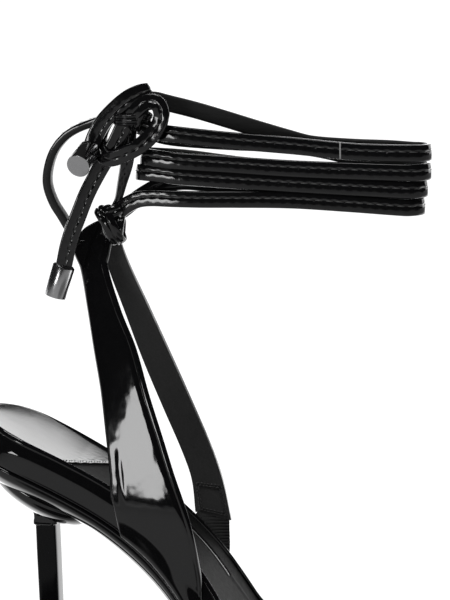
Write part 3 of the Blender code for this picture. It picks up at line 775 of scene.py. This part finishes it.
def add_stitch(bm, spot, ahead, normal, half):
    """One stitch as a small plump lozenge."""
    turn = Matrix((ahead, normal.cross(ahead), normal)).transposed().to_4x4()
    size = Matrix.Diagonal((*[h * MM for h in half], 1.0))
    lie = Matrix.Rotation(math.pi / 2, 4, "Y")
    bmesh.ops.create_uvsphere(bm, u_segments=6, v_segments=5, radius=1.0,
                              matrix=Matrix.Translation(spot) @ turn @ size @ lie)


def add_tie(name, route, replaced, far_end="object", with_pieces=(), lay="loose", lined="back",
            wide=TIE_WIDTH, **shape):
    """A tie swept along its route, as a piece that rides on the part."""
    bm, path = make_tie(route, **shape)
    piece = add_piece(bm, name, ["tie", "thread", lined, "seam"], replaced)
    path_runs(path)[-1] * MM


def hoop_side(spots, side):
    """Points along the near side of the hoop (-1) or its far side (1)."""
    return [(x, side * read_table(HOOP_DEPTH, x), z) for x, z in spots]


def hoop_bend(centre, half, turns, start, end):
    """Points round one end of the hoop, rising or falling between two heights."""
    points = []
    for n, turn in enumerate(turns):
        angle = math.radians(turn)
        height = start + (end - start) * n / (len(turns) - 1)
        points.append((centre + half * math.cos(angle), half * math.sin(angle), height))
    return points


def wrap_route():
    """Three turns round the ankle, from the strap's knot up to the bow."""
    route = list(WRAP_START)
    for n, (front, (reach, height), behind) in enumerate(TURNS):
        route += hoop_side(front, -1)
        route += hoop_bend(reach, HOOP_HALF, range(-90, 91, 30), height, height)
        route += hoop_side(behind, 1)
        if n < len(LEFT_ENDS):
            after = TURNS[n + 1][0][0][1]
            route += hoop_bend(LEFT_ENDS[n], LEFT_HALF, range(110, 251, 35), behind[-1][1] + 1.0, after + 0.3)
    return route + WRAP_END


def top_wrap_route():
    """The top turn, from the bow along the back, round the right end and back to the bow."""
    front, (reach, height) = TOP_TURN
    route = list(TOP_WRAP_START) + hoop_bend(reach, HOOP_HALF, range(90, -91, -30), height, height + 0.3)
    return route + hoop_side(front, -1) + TOP_WRAP_END


def make_knot(name, node, core, halves, turns):
    """A tied knot: strips of the tie wound round a core, each with its own direction across the front."""
    centre = place(core)
    bm = bmesh.new()
    size = Matrix.Diagonal((*[h * MM for h in halves], 1.0))
    bmesh.ops.create_uvsphere(bm, u_segments=24, v_segments=16, radius=1.0,
                              matrix=Matrix.Translation(centre) @ size)
    for shift, run, (long, deep), width in turns:
        run = Vector(run).normalized()
        middle = centre + Vector(shift) * MM
        rings = []
        for n in range(KNOT_STEPS):
            angle = 2 * math.pi * n / KNOT_STEPS
            cos, sin = math.cos(angle), math.sin(angle)
            point = middle + (run * long * cos - BACK * deep * sin) * MM
            out = (run * deep * cos - BACK * long * sin).normalized()
            ring = []
            for across, lift in tie_section(width, KNOT_THICK, 0.0, KNOT_FLAT):
                furrow = KNOT_FURROW[0] * swell(across, KNOT_FURROW[1]) if lift > 0 else 0.0
                ring.append(point + (BACK.cross(run) * across + out * (lift - furrow)) * MM)
            rings.append(ring)
        draw_rows(bm, rings + [rings[0]], closed=True)
    return add_piece(bm, name, ["tie"], [node])


def make_metal_tip(name, node, end, axis):
    """Turned metal tip: a profile spun about the end of its tie."""
    bm = bmesh.new()
    chain = [bm.verts.new((TIP_SCALE * radius * MM, 0.0, height * MM)) for radius, height in TIP_PROFILE]
    edges = [bm.edges.new(pair) for pair in zip(chain, chain[1:])]
    bmesh.ops.spin(bm, geom=chain + edges, cent=(0, 0, 0), axis=(0, 0, 1), dvec=(0, 0, 0), angle=2 * math.pi,
                   steps=48, use_merge=True, use_duplicate=False)
    bmesh.ops.remove_doubles(bm, verts=bm.verts[:], dist=1e-6)
    turn = UP.rotation_difference(axis).to_matrix().to_4x4()
    start = place(end) + axis * TIP_GAP * MM
    bmesh.ops.transform(bm, matrix=Matrix.Translation(start) @ turn, verts=bm.verts[:])
    return add_piece(bm, name, ["metal"], [node], 28)


def make_ties():
    """Tips, knots and ties. The first stretch of the lowest turn is pressed a little fuller."""
    short_tip = make_metal_tip("tip_short", "tie_tip_short", SHORT_END[-1], SHORT_TIP_AXIS)
    long_tip = make_metal_tip("tip_long", "tie_tip_long", LONG_END[-1], LONG_TIP_AXIS)
    strap_knot = make_knot("knot_at_strap", "tie_knot", *STRAP_KNOT)
    bow_knot = make_knot("knot_of_bow", "bow_knot", *BOW_KNOT)
    route = wrap_route()
    sizes = [(TIE_WIDTH, TIE_THICK, -0.05)] * len(WRAP_START)
    add_tie("wrap_lower", route, ["ankle_wrap"], widths=sizes + [TIE_SIZE] * (len(route) - len(sizes)))
    add_tie("wrap_upper", top_wrap_route(), ["ankle_wrap_top"], flip=-1.0, seam=TOP_SEAM)
    add_tie("wrap_tail", WRAP_TAIL, [])
    add_tie("halter_tie", HALTER, ["tie_casing", "tie_riser"], with_pieces=[strap_knot], sewn=False, wide=5.0,
            faces=HALTER_FACES, widths=HALTER_SIZES)
    add_tie("bow_ring_tie", RING, ["bow_ring"], with_pieces=[bow_knot], faces=RING_FACES, furrow=0.0,
            sewn=False, lined="tie", widths=[(6.4, 2.6, 0.0)] * len(RING))
    loop_faces = []
    for i in range(len(LOOP)):
        ahead = Vector(LOOP[min(i + 1, len(LOOP) - 1)]) - Vector(LOOP[max(i - 1, 0)])
        loop_faces.append(BACK.cross(ahead).normalized())
    add_tie("bow_loop_tie", LOOP, ["bow_loop"], faces=loop_faces, widths=[(6.2, 3.6, 0.0)] * len(LOOP))
    add_tie("tie_short", SHORT_END, ["tie_end_short"], "fitting", [short_tip], faces=SHORT_FACES, furrow=0.9,
            widths=SHORT_SIZES, bare=8)
    add_tie("tie_long", LONG_END, ["tie_end_long"], "fitting", [long_tip], faces=LONG_FACES, lay="hanging")


# Sole

def sweep_round(profile):
    """Rows of a closed section carried round the sole's outline."""
    rows = [[on_sole(along - inset * out_along, side - inset * out_side, lift) for inset, lift in profile]
            for along, side, out_along, out_side in sole_outline()]
    return rows + [rows[0]]


def make_band():
    """Wrapped side of the footbed with its piped rim."""
    profile = smooth_profile(PIPING, 0.35) + smooth_profile(BAND, 0.45)[1:]
    add_piece(from_rows(sweep_round(profile), tube=True), "sole_band", ["patent"], ["footbed"], 55)


def make_outsole():
    """Rounded outsole: its edge is swept round the outline and its bottom bridged across."""
    top = -FOOTBED_THICK - FIT_GAP
    edge = smooth_profile([(inset, share * 4) for inset, share in OUTSOLE_EDGE], 0.35)
    rows = []
    for along, side, out_along, out_side in sole_outline():
        room = on_sole(along, side, top).z / MM
        thick = min(sole_column(OUTSOLE, along) + read_table(OUTSOLE_EXTRA, along), room)
        row = []
        for inset, drop in edge:
            row.append(on_sole(along - inset * out_along, side - inset * out_side, top - drop / 4 * thick))
            row[-1].z = max(row[-1].z, 0.0)
        rows.append(row)
    bm = bmesh.new()
    grid = draw_rows(bm, rows + [rows[0]])
    bmesh.ops.remove_doubles(bm, verts=bm.verts[:], dist=1e-7)
    half = len(rows) // 2
    for column in (0, -1):
        loop = [row[column] for row in grid[:-1]]
        edges = []
        for chain in (loop[1:half], loop[half + 1:]):
            edges += [bm.edges.get(pair) for pair in zip(chain, chain[1:])]
        bmesh.ops.bridge_loops(bm, edges=edges)
    close_ends(bm)
    add_piece(bm, "outsole_wrapped", ["patent"], ["outsole"], 50)


def slot_side(along):
    """Where the insole's slot runs, to the inner side of the middle."""
    return SLOT_PLACE + SLOT_SLANT * (along - 80.0)


def insole_half(side, along):
    """Half width of the insole, on the side that a place across it lies on."""
    return max(LEAST_HALF, half_width(OUTER if side < 0 else INNER, along) - INSOLE_MARGIN)


def insole_level(along, side, width):
    """Height of the insole: dished across, with a slot under the arch and a ridge after it."""
    level = INSOLE_LEVEL - INSOLE_DISH * (1 - (side / width) ** 2)
    if SLOT_START < along < SLOT_END:
        level -= SLOT_DEPTH * swell(side - slot_side(along), SLOT_HALF, 4)
    elif along >= SLOT_END:
        past = along - SLOT_END
        ridge = side - (RIDGE_PLACE + RIDGE_SLANT * past)
        level += RIDGE_HEIGHT * swell(ridge, RIDGE_HALF) * max(0.0, 1 - past / RIDGE_LENGTH)
    return level


def sole_normal(along, side):
    """Upward direction of the sole at a place."""
    return (on_sole(along, side, 1.0) - on_sole(along, side, 0.0)).normalized()


def make_insole():
    """Insole inside the rim, with a bead along its slot."""
    start, end = INSOLE_ENDS, SOLE_LENGTH - INSOLE_ENDS
    count = round((end - start) / INSOLE_STEP)
    rows = []
    for n in range(count + 1):
        along = start + (end - start) * n / count
        outer, inner = insole_half(-1, along), insole_half(1, along)
        row = []
        for i in range(INSOLE_COLUMNS):
            side = -outer + (outer + inner) * i / (INSOLE_COLUMNS - 1)
            row.append(on_sole(along, side, insole_level(along, side, outer if side < 0 else inner)))
        rows.append(row)
    insole = add_piece(from_rows(rows), "insole_cover", ["satin"] * 3, ["insole"])
    add_wall(insole, INSOLE_WALL, INWARD, SOFT_EDGE)
    rings = []
    for n in range(93):
        along = SLOT_START + 1.0 + 0.5 * n
        side = slot_side(along) - BEAD_ASIDE
        middle = on_sole(along, side, insole_level(along, side, half_width(INNER, along)) + 0.1)
        up = sole_normal(along, side)
        rings.append([middle + (BACK * across + up * lift) * MM for across, lift in SLOT_BEAD])
    add_piece(from_rows(rings, tube=True), "slot_bead", ["patent"])


def sock_front(side):
    """Where the heel sock ends: a slanted edge with small waves."""
    return SOCK_FRONT + SOCK_SLANT * side + SOCK_WAVE * noise.noise(Vector((side * 0.35, 3.1, 0.0)))


def make_sock():
    """Glossy heel sock with a stitched front edge."""
    rows = []
    for n in range(101):
        share = n / 100
        row = []
        for i in range(61):
            across = -1 + 2 * i / 60
            length = sock_front(across * SOCK_HALF) - SOCK_START
            along = SOCK_START + length * share
            climb = SOCK_CLIMB * max(0.0, min(1.0, (CLIMB_FROM - along) / CLIMB_RUN))
            half = half_width(OUTER if across < 0 else INNER, along) - SOCK_MARGIN
            side = across * max(LEAST_HALF, half + 0.4 * climb)
            lip = SOCK_LIP[0] * swell((1 - share) * length, SOCK_LIP[1])
            ruffle = noise.noise(Vector((side * 0.5, along * 0.9, 7.0))) * math.exp(-(1 - share) * 14)
            level = insole_level(along, side, insole_half(across, along)) + SOCK_STAND
            row.append(on_sole(along, side, level + lip + SOCK_WRINKLE * ruffle + climb))
        rows.append(row)
    sock = add_piece(from_rows(rows), "heel_sock", ["sock"] * 3)
    add_wall(sock, SOCK_WALL, INWARD, SOFT_EDGE)
    bm = bmesh.new()
    for n in range(22):
        side = -19.0 + 1.75 * n
        along = sock_front(side) - SOCK_SEAM
        spot = on_sole(along, side, insole_level(along, side, insole_half(side, along)) + 0.72)
        after = on_sole(sock_front(side + 1) - SOCK_SEAM, side + 1, 0.0)
        ahead = (after - on_sole(along, side, 0.0)).normalized()
        add_stitch(bm, spot, ahead, sole_normal(along, side), SOCK_STITCH)
    add_piece(bm, "sock_stitches", ["thread"])


def make_heel():
    """Boat-shaped cup on a slim square post, with the cover folded round the post's top."""
    middle, reach = (CUP_BACK + CUP_FRONT) / 2, (CUP_FRONT - CUP_BACK) / 2
    rings = []
    for turn in range(-88, 89, 4):
        along = middle + reach * math.sin(math.radians(turn))
        top = 0.5 - FOOTBED_THICK - 2 * FIT_GAP - sole_column(OUTSOLE, along)
        share = math.cos(math.radians(turn))
        ring = []
        for step in range(41):
            angle = math.radians(-CUP_LIP + (180.0 + 2 * CUP_LIP) * step / 40)
            depth = CUP_DEPTH * share ** 0.7 * (math.sin(angle) + CUP_SINE) / (1 + CUP_SINE)
            ring.append(on_sole(along, CUP_HALF * share ** 0.85 * math.cos(angle), top - depth))
        rings.append(ring)
    add_piece(from_rows(rings, tube=True), "heel_cup", ["patent"], ["heel"], 50)
    for name, finish, levels, fold in [("heel_post", "cover", POST_LEVELS, 0.0),
                                       ("heel_collar", "patent", COLLAR_LEVELS, 0.07)]:
        rings = [post_ring(height, lip, fold) for height, lip in smooth_profile(levels, 1.2)]
        add_piece(from_rows(rings, tube=True), name, [finish], (), 50)


def post_ring(height, lip, fold):
    """Square ring of the heel's post at a height, its breast turned a little to the outer side."""
    centre = POST_PLACE - POST_RAKE * (height - POST_FOOT)
    ring = []
    for step in range(48):
        angle = 2 * math.pi * (step + 0.5) / 48
        cos, sin = math.cos(angle), math.sin(angle)
        crumple = 1 + fold * noise.noise(Vector((angle * 1.6, height * 0.55 + angle * 0.9, 2.0)))
        long = math.copysign(abs(cos) ** POST_SQUARE, cos) * (POST_LONG + lip) * crumple
        wide = math.copysign(abs(sin) ** POST_SQUARE, sin) * (POST_WIDE + lip) * crumple
        if cos > 0:
            long += POST_TWIST * (wide + POST_WIDE)
        ring.append(place((centre + long, wide, height)))
    return ring


# Straps

def band_rows(table, shares):
    """Rows of a strap from its table, with the bulge across its width."""
    rows = []
    for back, front, bulge in table:
        start, end = place(back), place(front)
        outward = -1.0 if back[1] < 0 else 1.0
        row = []
        for share in shares:
            lift = Vector((0.0, outward * bulge * (1 - (2 * share - 1) ** 2) * MM, 0.0))
            row.append(start.lerp(end, share) + lift)
        rows.append(row)
    return rows


def run_slopes(table, zero):
    """Heights run up by a table of slopes in degrees, counted from a place of height zero."""
    spots = [table[0][0] + n for n in range(int(table[-1][0] - table[0][0]) + 1)]
    runs = [0.0]
    for spot in spots[:-1]:
        runs.append(runs[-1] + math.tan(math.radians(read_table(table, spot + 0.5))))
    pairs = list(zip(spots, runs))
    base = read_table(pairs, zero)
    return [(spot, run - base) for spot, run in pairs]


STRAP_IN = run_slopes(STRAP_LEAN, STRAP_MARK[2])
STRAP_ROUND = run_slopes(STRAP_TURN, STRAP_MARK[0])


def strap_depth(point, edge):
    """Depth of the outer strap at a place, in millimetres, that far from its front edge."""
    x = point.x - HEEL_BACK_X
    depth = STRAP_MARK[1] + read_table(STRAP_IN, point.z) + read_table(STRAP_ROUND, x)
    reach, curl = STRAP_CURL
    hem, ridge = STRAP_HEM
    depth += curl * max(0.0, 1 - max(edge, hem) / reach) ** 2
    depth -= ridge * max(0.0, 1 - (2 * edge / hem - 1) ** 2)
    depth += 0.04 * noise.noise(Vector((x * 0.16, point.z * 0.11, 1.7)))
    depth += 0.013 * noise.noise(Vector((x * 0.45, point.z * 0.3, 4.2)))
    up = point.z - CREASE_Z
    return depth - CREASE_DEPTH * swell(x - CREASE_X + CREASE_LEAN * up, 1.1) * swell(up, 9.0, 4)


def make_quarter_strap():
    """Halter strap: patent outside, lining inside and a painted edge. Its columns are close at its edges."""
    margin = [0.08 * (n / 14) ** 1.5 for n in range(15)]
    shares = margin[:-1] + [0.08 + 0.84 * n / 42 for n in range(42)]
    shares += [1 - share for share in reversed(margin)]
    rows = []
    for depth, back, front, stand_back, stand_front in STRAP_BASE:
        row = []
        for share in shares:
            along = back + (front - back) * share
            stand = stand_back + (stand_front - stand_back) * share
            row.append(on_sole(along, -half_width(OUTER, along) - stand, -depth))
        rows.append(row)
    rows = smooth_rows(rows + band_rows(STRAP, shares), 1.0 * MM)
    for n, row in enumerate(rows):
        if row[0].z > STRAP_FOLD * MM:
            break
        share = min(1.0, n / STRAP_GLUED)
        width = (row[-1] - row[0]).length / MM
        blend = share ** 2 * (3 - 2 * share)
        for across, point in zip(shares, row):
            edge = width * (1 - across)
            depth = strap_depth(point / MM, edge) * MM
            point.y += (depth - point.y) * blend
            point.y += (1 - blend) * STRAP_CURL[1] * max(0.0, 1 - edge / STRAP_CURL[0]) ** 2 * MM
            near = max(0.0, 1 - width * min(across, 1 - across) / STRAP_ROLL)
            point.y += share * (1 - math.sqrt(1 - min(0.97, near) ** 2)) * STRAP_ROLL * MM
    bm = from_rows(rows)
    bmesh.ops.recalc_face_normals(bm, faces=bm.faces[:])
    bm.faces.ensure_lookup_table()
    if bm.faces[0].normal.y > 0:
        bmesh.ops.reverse_faces(bm, faces=bm.faces[:])
    strap = open_piece(bm, "quarter_strap_leather", ["patent", "lining", "edge"], ["quarter_strap"])
    add_wall(strap, STRAP_WALL, 0.0, STRAP_EDGE)
    sew_strap_end()


def sew_strap_end():
    """Two boxes of stitches where the strap's inner end is sewn on the elastic."""
    (high_back, high_front), (low_back, low_front) = [[Vector(end) for end in row[:2]] for row in STRAP[-2:]]

    def spot(across, up):
        low = low_back.lerp(low_front, across)
        high = high_back.lerp(high_front, across)
        return place(low.lerp(high, up) + Vector((0.0, -0.95, 0.0)))

    bm = bmesh.new()
    for left, low, right, high in BOXES:
        path = [(left, low), (right, low), (right, high), (left, high), (left, low)]
        for (a0, u0), (a1, u1) in zip(path, path[1:]):
            run = spot(a1, u1) - spot(a0, u0)
            count = max(2, round(run.length / (BOX_PITCH * MM)))
            for n in range(count):
                middle = spot(a0 + (a1 - a0) * (n + 0.5) / count, u0 + (u1 - u0) * (n + 0.5) / count)
                add_stitch(bm, middle, run.normalized(), -BACK, BOX_STITCH)
    add_piece(bm, "box_stitches", ["thread"])


def make_elastic():
    """Elastic with level ribs between the strap's inner end and the side of the sole."""
    steps = [i / (ELASTIC_COLUMNS - 1) for i in range(ELASTIC_COLUMNS)]
    edge_back, edge_front = place(STRAP[-1][0]), place(STRAP[-1][1])
    tuck = UP * ELASTIC_TUCK * MM
    top_back, top_front = [edge_back.lerp(edge_front, share) - tuck for share in ELASTIC_TOP]
    rows = [[top_back.lerp(top_front, step) for step in steps]]
    for depth, back, front in ELASTIC_BASE:
        places = [back + (front - back) * step for step in steps]
        rows.append([on_sole(along, half_width(INNER, along) + ELASTIC_STAND, -depth) for along in places])
    rows = smooth_rows(rows, 0.18 * MM)
    pitch, height = [size * MM for size in ELASTIC_RIB]
    for row in rows:
        for point in row:
            point.y += height * math.sin(2 * math.pi * point.z / pitch)
    elastic = open_piece(from_rows(rows), "elastic_ribbed", ["elastic"], ["elastic_gore"])
    add_wall(elastic, ELASTIC_WALL)


def make_toe_strap():
    """Band over the toes with lining and a painted edge."""
    steps = [i / (TOE_COLUMNS - 1) for i in range(TOE_COLUMNS)]
    places, rises = [[start + (end - start) * step for step in steps] for start, end in (TOE_PLACE, TOE_RISE)]

    def glued(column, outward, depth):
        return [on_sole(along, outward * (half_width(column, along) + TOE_STAND), -depth) for along in places]

    rows = [glued(OUTER, -1, depth) for depth in TOE_DEPTHS]
    for turn in range(0, 181, 3):
        angle = math.radians(turn)
        row = []
        for along, rise in zip(places, rises):
            reach = half_width(OUTER if turn <= 90 else INNER, along) + TOE_STAND
            lift = rise * math.sin(angle) ** 0.8
            row.append(on_sole(along + math.sin(angle), -reach * math.cos(angle), lift))
        rows.append(row)
    rows += [glued(INNER, 1, depth) for depth in reversed(TOE_DEPTHS)]
    strap = open_piece(from_rows(rows), "toe_strap_leather", ["patent", "lining", "edge"],
                       ["toe_strap"])
    add_wall(strap, STRAP_WALL, 0.0, TOE_EDGE)


# Studio

CAMERA_TARGET = Vector((-0.00158, 0.0, 0.1676))
CAMERA_DISTANCE = 0.93
CAMERA_AZIMUTH = 7.0
CAMERA_ELEVATION = 11.0
CAMERA_LENS = 139.5
FRONT_GLOW = grey(0.37)
BACK_GLOW = grey(2.4)
# Painted shadow: the next two glows are darker floor near the sandal that the patent mirrors
SHADE_GLOW = grey(0.12)
DEEP_SHADE_GLOW = grey(0.03)
# Painted shadow pools on the floor, seen where the patent mirrors it: stretch along the foot, shift, inner
# and outer reach, glow
PAINTED_SHADOW_POOLS = [
    (0.3, (0.0, 0.06, 0.0), 0.015, 0.05, SHADE_GLOW),
    (1.0, (-0.25, 0.29, 0.0), 0.16, 0.2, DEEP_SHADE_GLOW),
    (0.85, (-0.049, 0.0, 0.0), 0.046, 0.058, SHADE_GLOW),
    (0.6, (0.024, 0.105, 0.0), 0.048, 0.064, DEEP_SHADE_GLOW),
]
FLOOR_HALF = 9.0
FLOOR_BACK = 5.0
SWEEP_ROUND = 1.5
SANDAL_MIDDLE = Vector((-0.03, 0.0, 0.13))
PANEL_TARGET = Vector((-0.03, 0.0, 0.11))
PANEL_DISTANCE = 3.0


def toward(azimuth, elevation):
    """Direction from the sandal: azimuth 0 is to the front of the picture, positive to its right."""
    a, e = math.radians(azimuth), math.radians(elevation)
    return Vector((math.sin(a) * math.cos(e), -math.cos(a) * math.cos(e), math.sin(e)))


def aim(thing, spot, target):
    """Place a camera or lamp and turn it to a target."""
    thing.location = spot
    thing.rotation_euler = (target - spot).to_track_quat("-Z", "Y").to_euler()


def add_camera():
    """Camera of the photo's view."""
    lens = bpy.data.cameras.new("camera")
    lens.lens = CAMERA_LENS
    lens.sensor_width = 36.0
    lens.clip_start = 0.01
    lens.clip_end = 100.0
    camera = put("camera", lens)
    aim(camera, CAMERA_TARGET + toward(CAMERA_AZIMUTH, CAMERA_ELEVATION) * CAMERA_DISTANCE, CAMERA_TARGET)
    bpy.context.scene.camera = camera


def add_softbox(name, azimuth, elevation, distance, width, height, radiance):
    """Area light of a given brightness, facing the sandal."""
    lamp = bpy.data.lights.new(name, "AREA")
    lamp.shape = "RECTANGLE"
    lamp.size = width
    lamp.size_y = height
    lamp.energy = radiance * math.pi * width * height
    aim(put(name, lamp), SANDAL_MIDDLE + toward(azimuth, elevation) * distance, SANDAL_MIDDLE)


def add_stage():
    """White floor that sweeps up to a backdrop, with a painted contact shadow round the sandal where the
    camera sees it. The sandal mirrors it in two tones of glow and with painted shadow pools.
    """
    line = [(y, 0.0) for y in (-FLOOR_HALF, -4.0, -1.0, 0.0, 1.0, 3.0, FLOOR_BACK)]
    for angle in (0.3, 0.6, 0.9, 1.2, 1.45):
        line.append((FLOOR_BACK + SWEEP_ROUND * math.sin(angle), SWEEP_ROUND - SWEEP_ROUND * math.cos(angle)))
    line.append((FLOOR_BACK + SWEEP_ROUND, 2.6))
    rows = [[Vector((x, y, z)) for y, z in line] for x in (-FLOOR_HALF, FLOOR_HALF)]
    white = Finish("white paper", Roughness=0.9, Specular_IOR_Level=0.0, Emission_Strength=1.0)
    across, along = [white.node("ShaderNodeSeparateXYZ", inputs={0: white.spot()}, output=axis)
                     for axis in "YX"]

    def reach(stretch, shift):
        """Distance over the floor from a place, longer along the foot."""
        spot = white.node("ShaderNodeVectorMath", {"operation": "MULTIPLY_ADD"},
                          {0: white.spot(), 1: (stretch, 1.0, 1.0), 2: shift})
        return white.node("ShaderNodeVectorMath", {"operation": "LENGTH"}, {0: spot}, output="Value")

    behind = white.blend(white.ramp(along, 0.7, 1.2), BACK_GLOW, FRONT_GLOW)
    glow = white.blend(white.ramp(across, -0.03, 0.015), FRONT_GLOW, behind)
    # Each pool paints shadow into the glow that the patent mirrors
    for stretch, shift, inner, outer, dark in PAINTED_SHADOW_POOLS:
        clear = white.ramp(reach(stretch, shift), inner, outer)
        glow = white.blend(clear, dark, glow)
    # Painted contact shadow: the floor the camera sees is grey round the sandal and white further out
    pale = white.blend(white.ramp(reach(0.5, (0.0, 0.0, 0.0)), 0.02, 0.14), grey(0.55), grey(1.0))
    seen = white.node("ShaderNodeLightPath", output="Is Camera Ray")
    paper_and_shade = white.blend(white.grain(3.0, 2), grey(0.3), grey(0.32))
    # Painted shade: the last pool also darkens the paper's colour for all but camera rays, so that lamps
    # don't light it
    paper_and_shade = white.blend((1 - clear) * (1 - seen), paper_and_shade, grey(0.01))
    floor = put_mesh(from_rows(rows), "floor",
                     [white.paint(Emission_Color=white.blend(seen, glow, pale), Base_Color=paper_and_shade)])


def add_world():
    """Dark room round the stage, pale where the camera looks past it."""
    world = bpy.data.worlds.new("studio")
    world.use_nodes = True
    tree = world.node_tree
    seen = tree.nodes.new("ShaderNodeLightPath")
    colour = tree.nodes.new("ShaderNodeMix")
    colour.data_type = "RGBA"
    colour.inputs[6].default_value = grey(0.025)
    colour.inputs[7].default_value = grey(1.0)
    tree.links.new(seen.outputs["Is Camera Ray"], colour.inputs["Factor"])
    tree.links.new(colour.outputs[2], tree.nodes["Background"].inputs["Color"])
    bpy.context.scene.world = world


def add_panel(name, corners, radiance):
    """Glowing panel between lower and upper corners, each given as azimuth and elevation from the sandal."""
    rows = [[PANEL_TARGET + toward(*corner) * PANEL_DISTANCE for corner in row] for row in corners]
    glow = Finish(name, Base_Color=grey(0.0), Emission_Color=grey(1.0), Emission_Strength=radiance)
    panel = put_mesh(from_rows(rows), name, [glow.material])
    panel.visible_camera = False


def light_studio():
    """A panel for the patch on the strap, a box overhead and a weak box from behind."""
    add_panel("panel left", [[(-34.0, 1.6), (-28.0, 1.6), (-22.0, 1.6), (-13.5, 1.6)],
                             [(-34.0, 2.6), (-29.5, 5.2), (-25.0, 9.4), (-21.5, 9.2)]], 11.0)
    add_softbox("softbox top", -28.0, 65.0, 1.5, 1.0, 0.3, 14.0)
    add_softbox("softbox right", 138.0, 18.0, 1.5, 1.0, 0.9, 1.6)


make_ties()
make_band()
make_outsole()
make_insole()
make_sock()
make_heel()
make_quarter_strap()
make_elastic()
make_toe_strap()
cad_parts["heel_tip"].data.materials.clear()
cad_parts["heel_tip"].data.materials.append(FINISHES["rubber"])
add_stage()
add_world()
light_studio()
add_camera()
bpy.context.scene.view_settings.view_transform = "Standard"
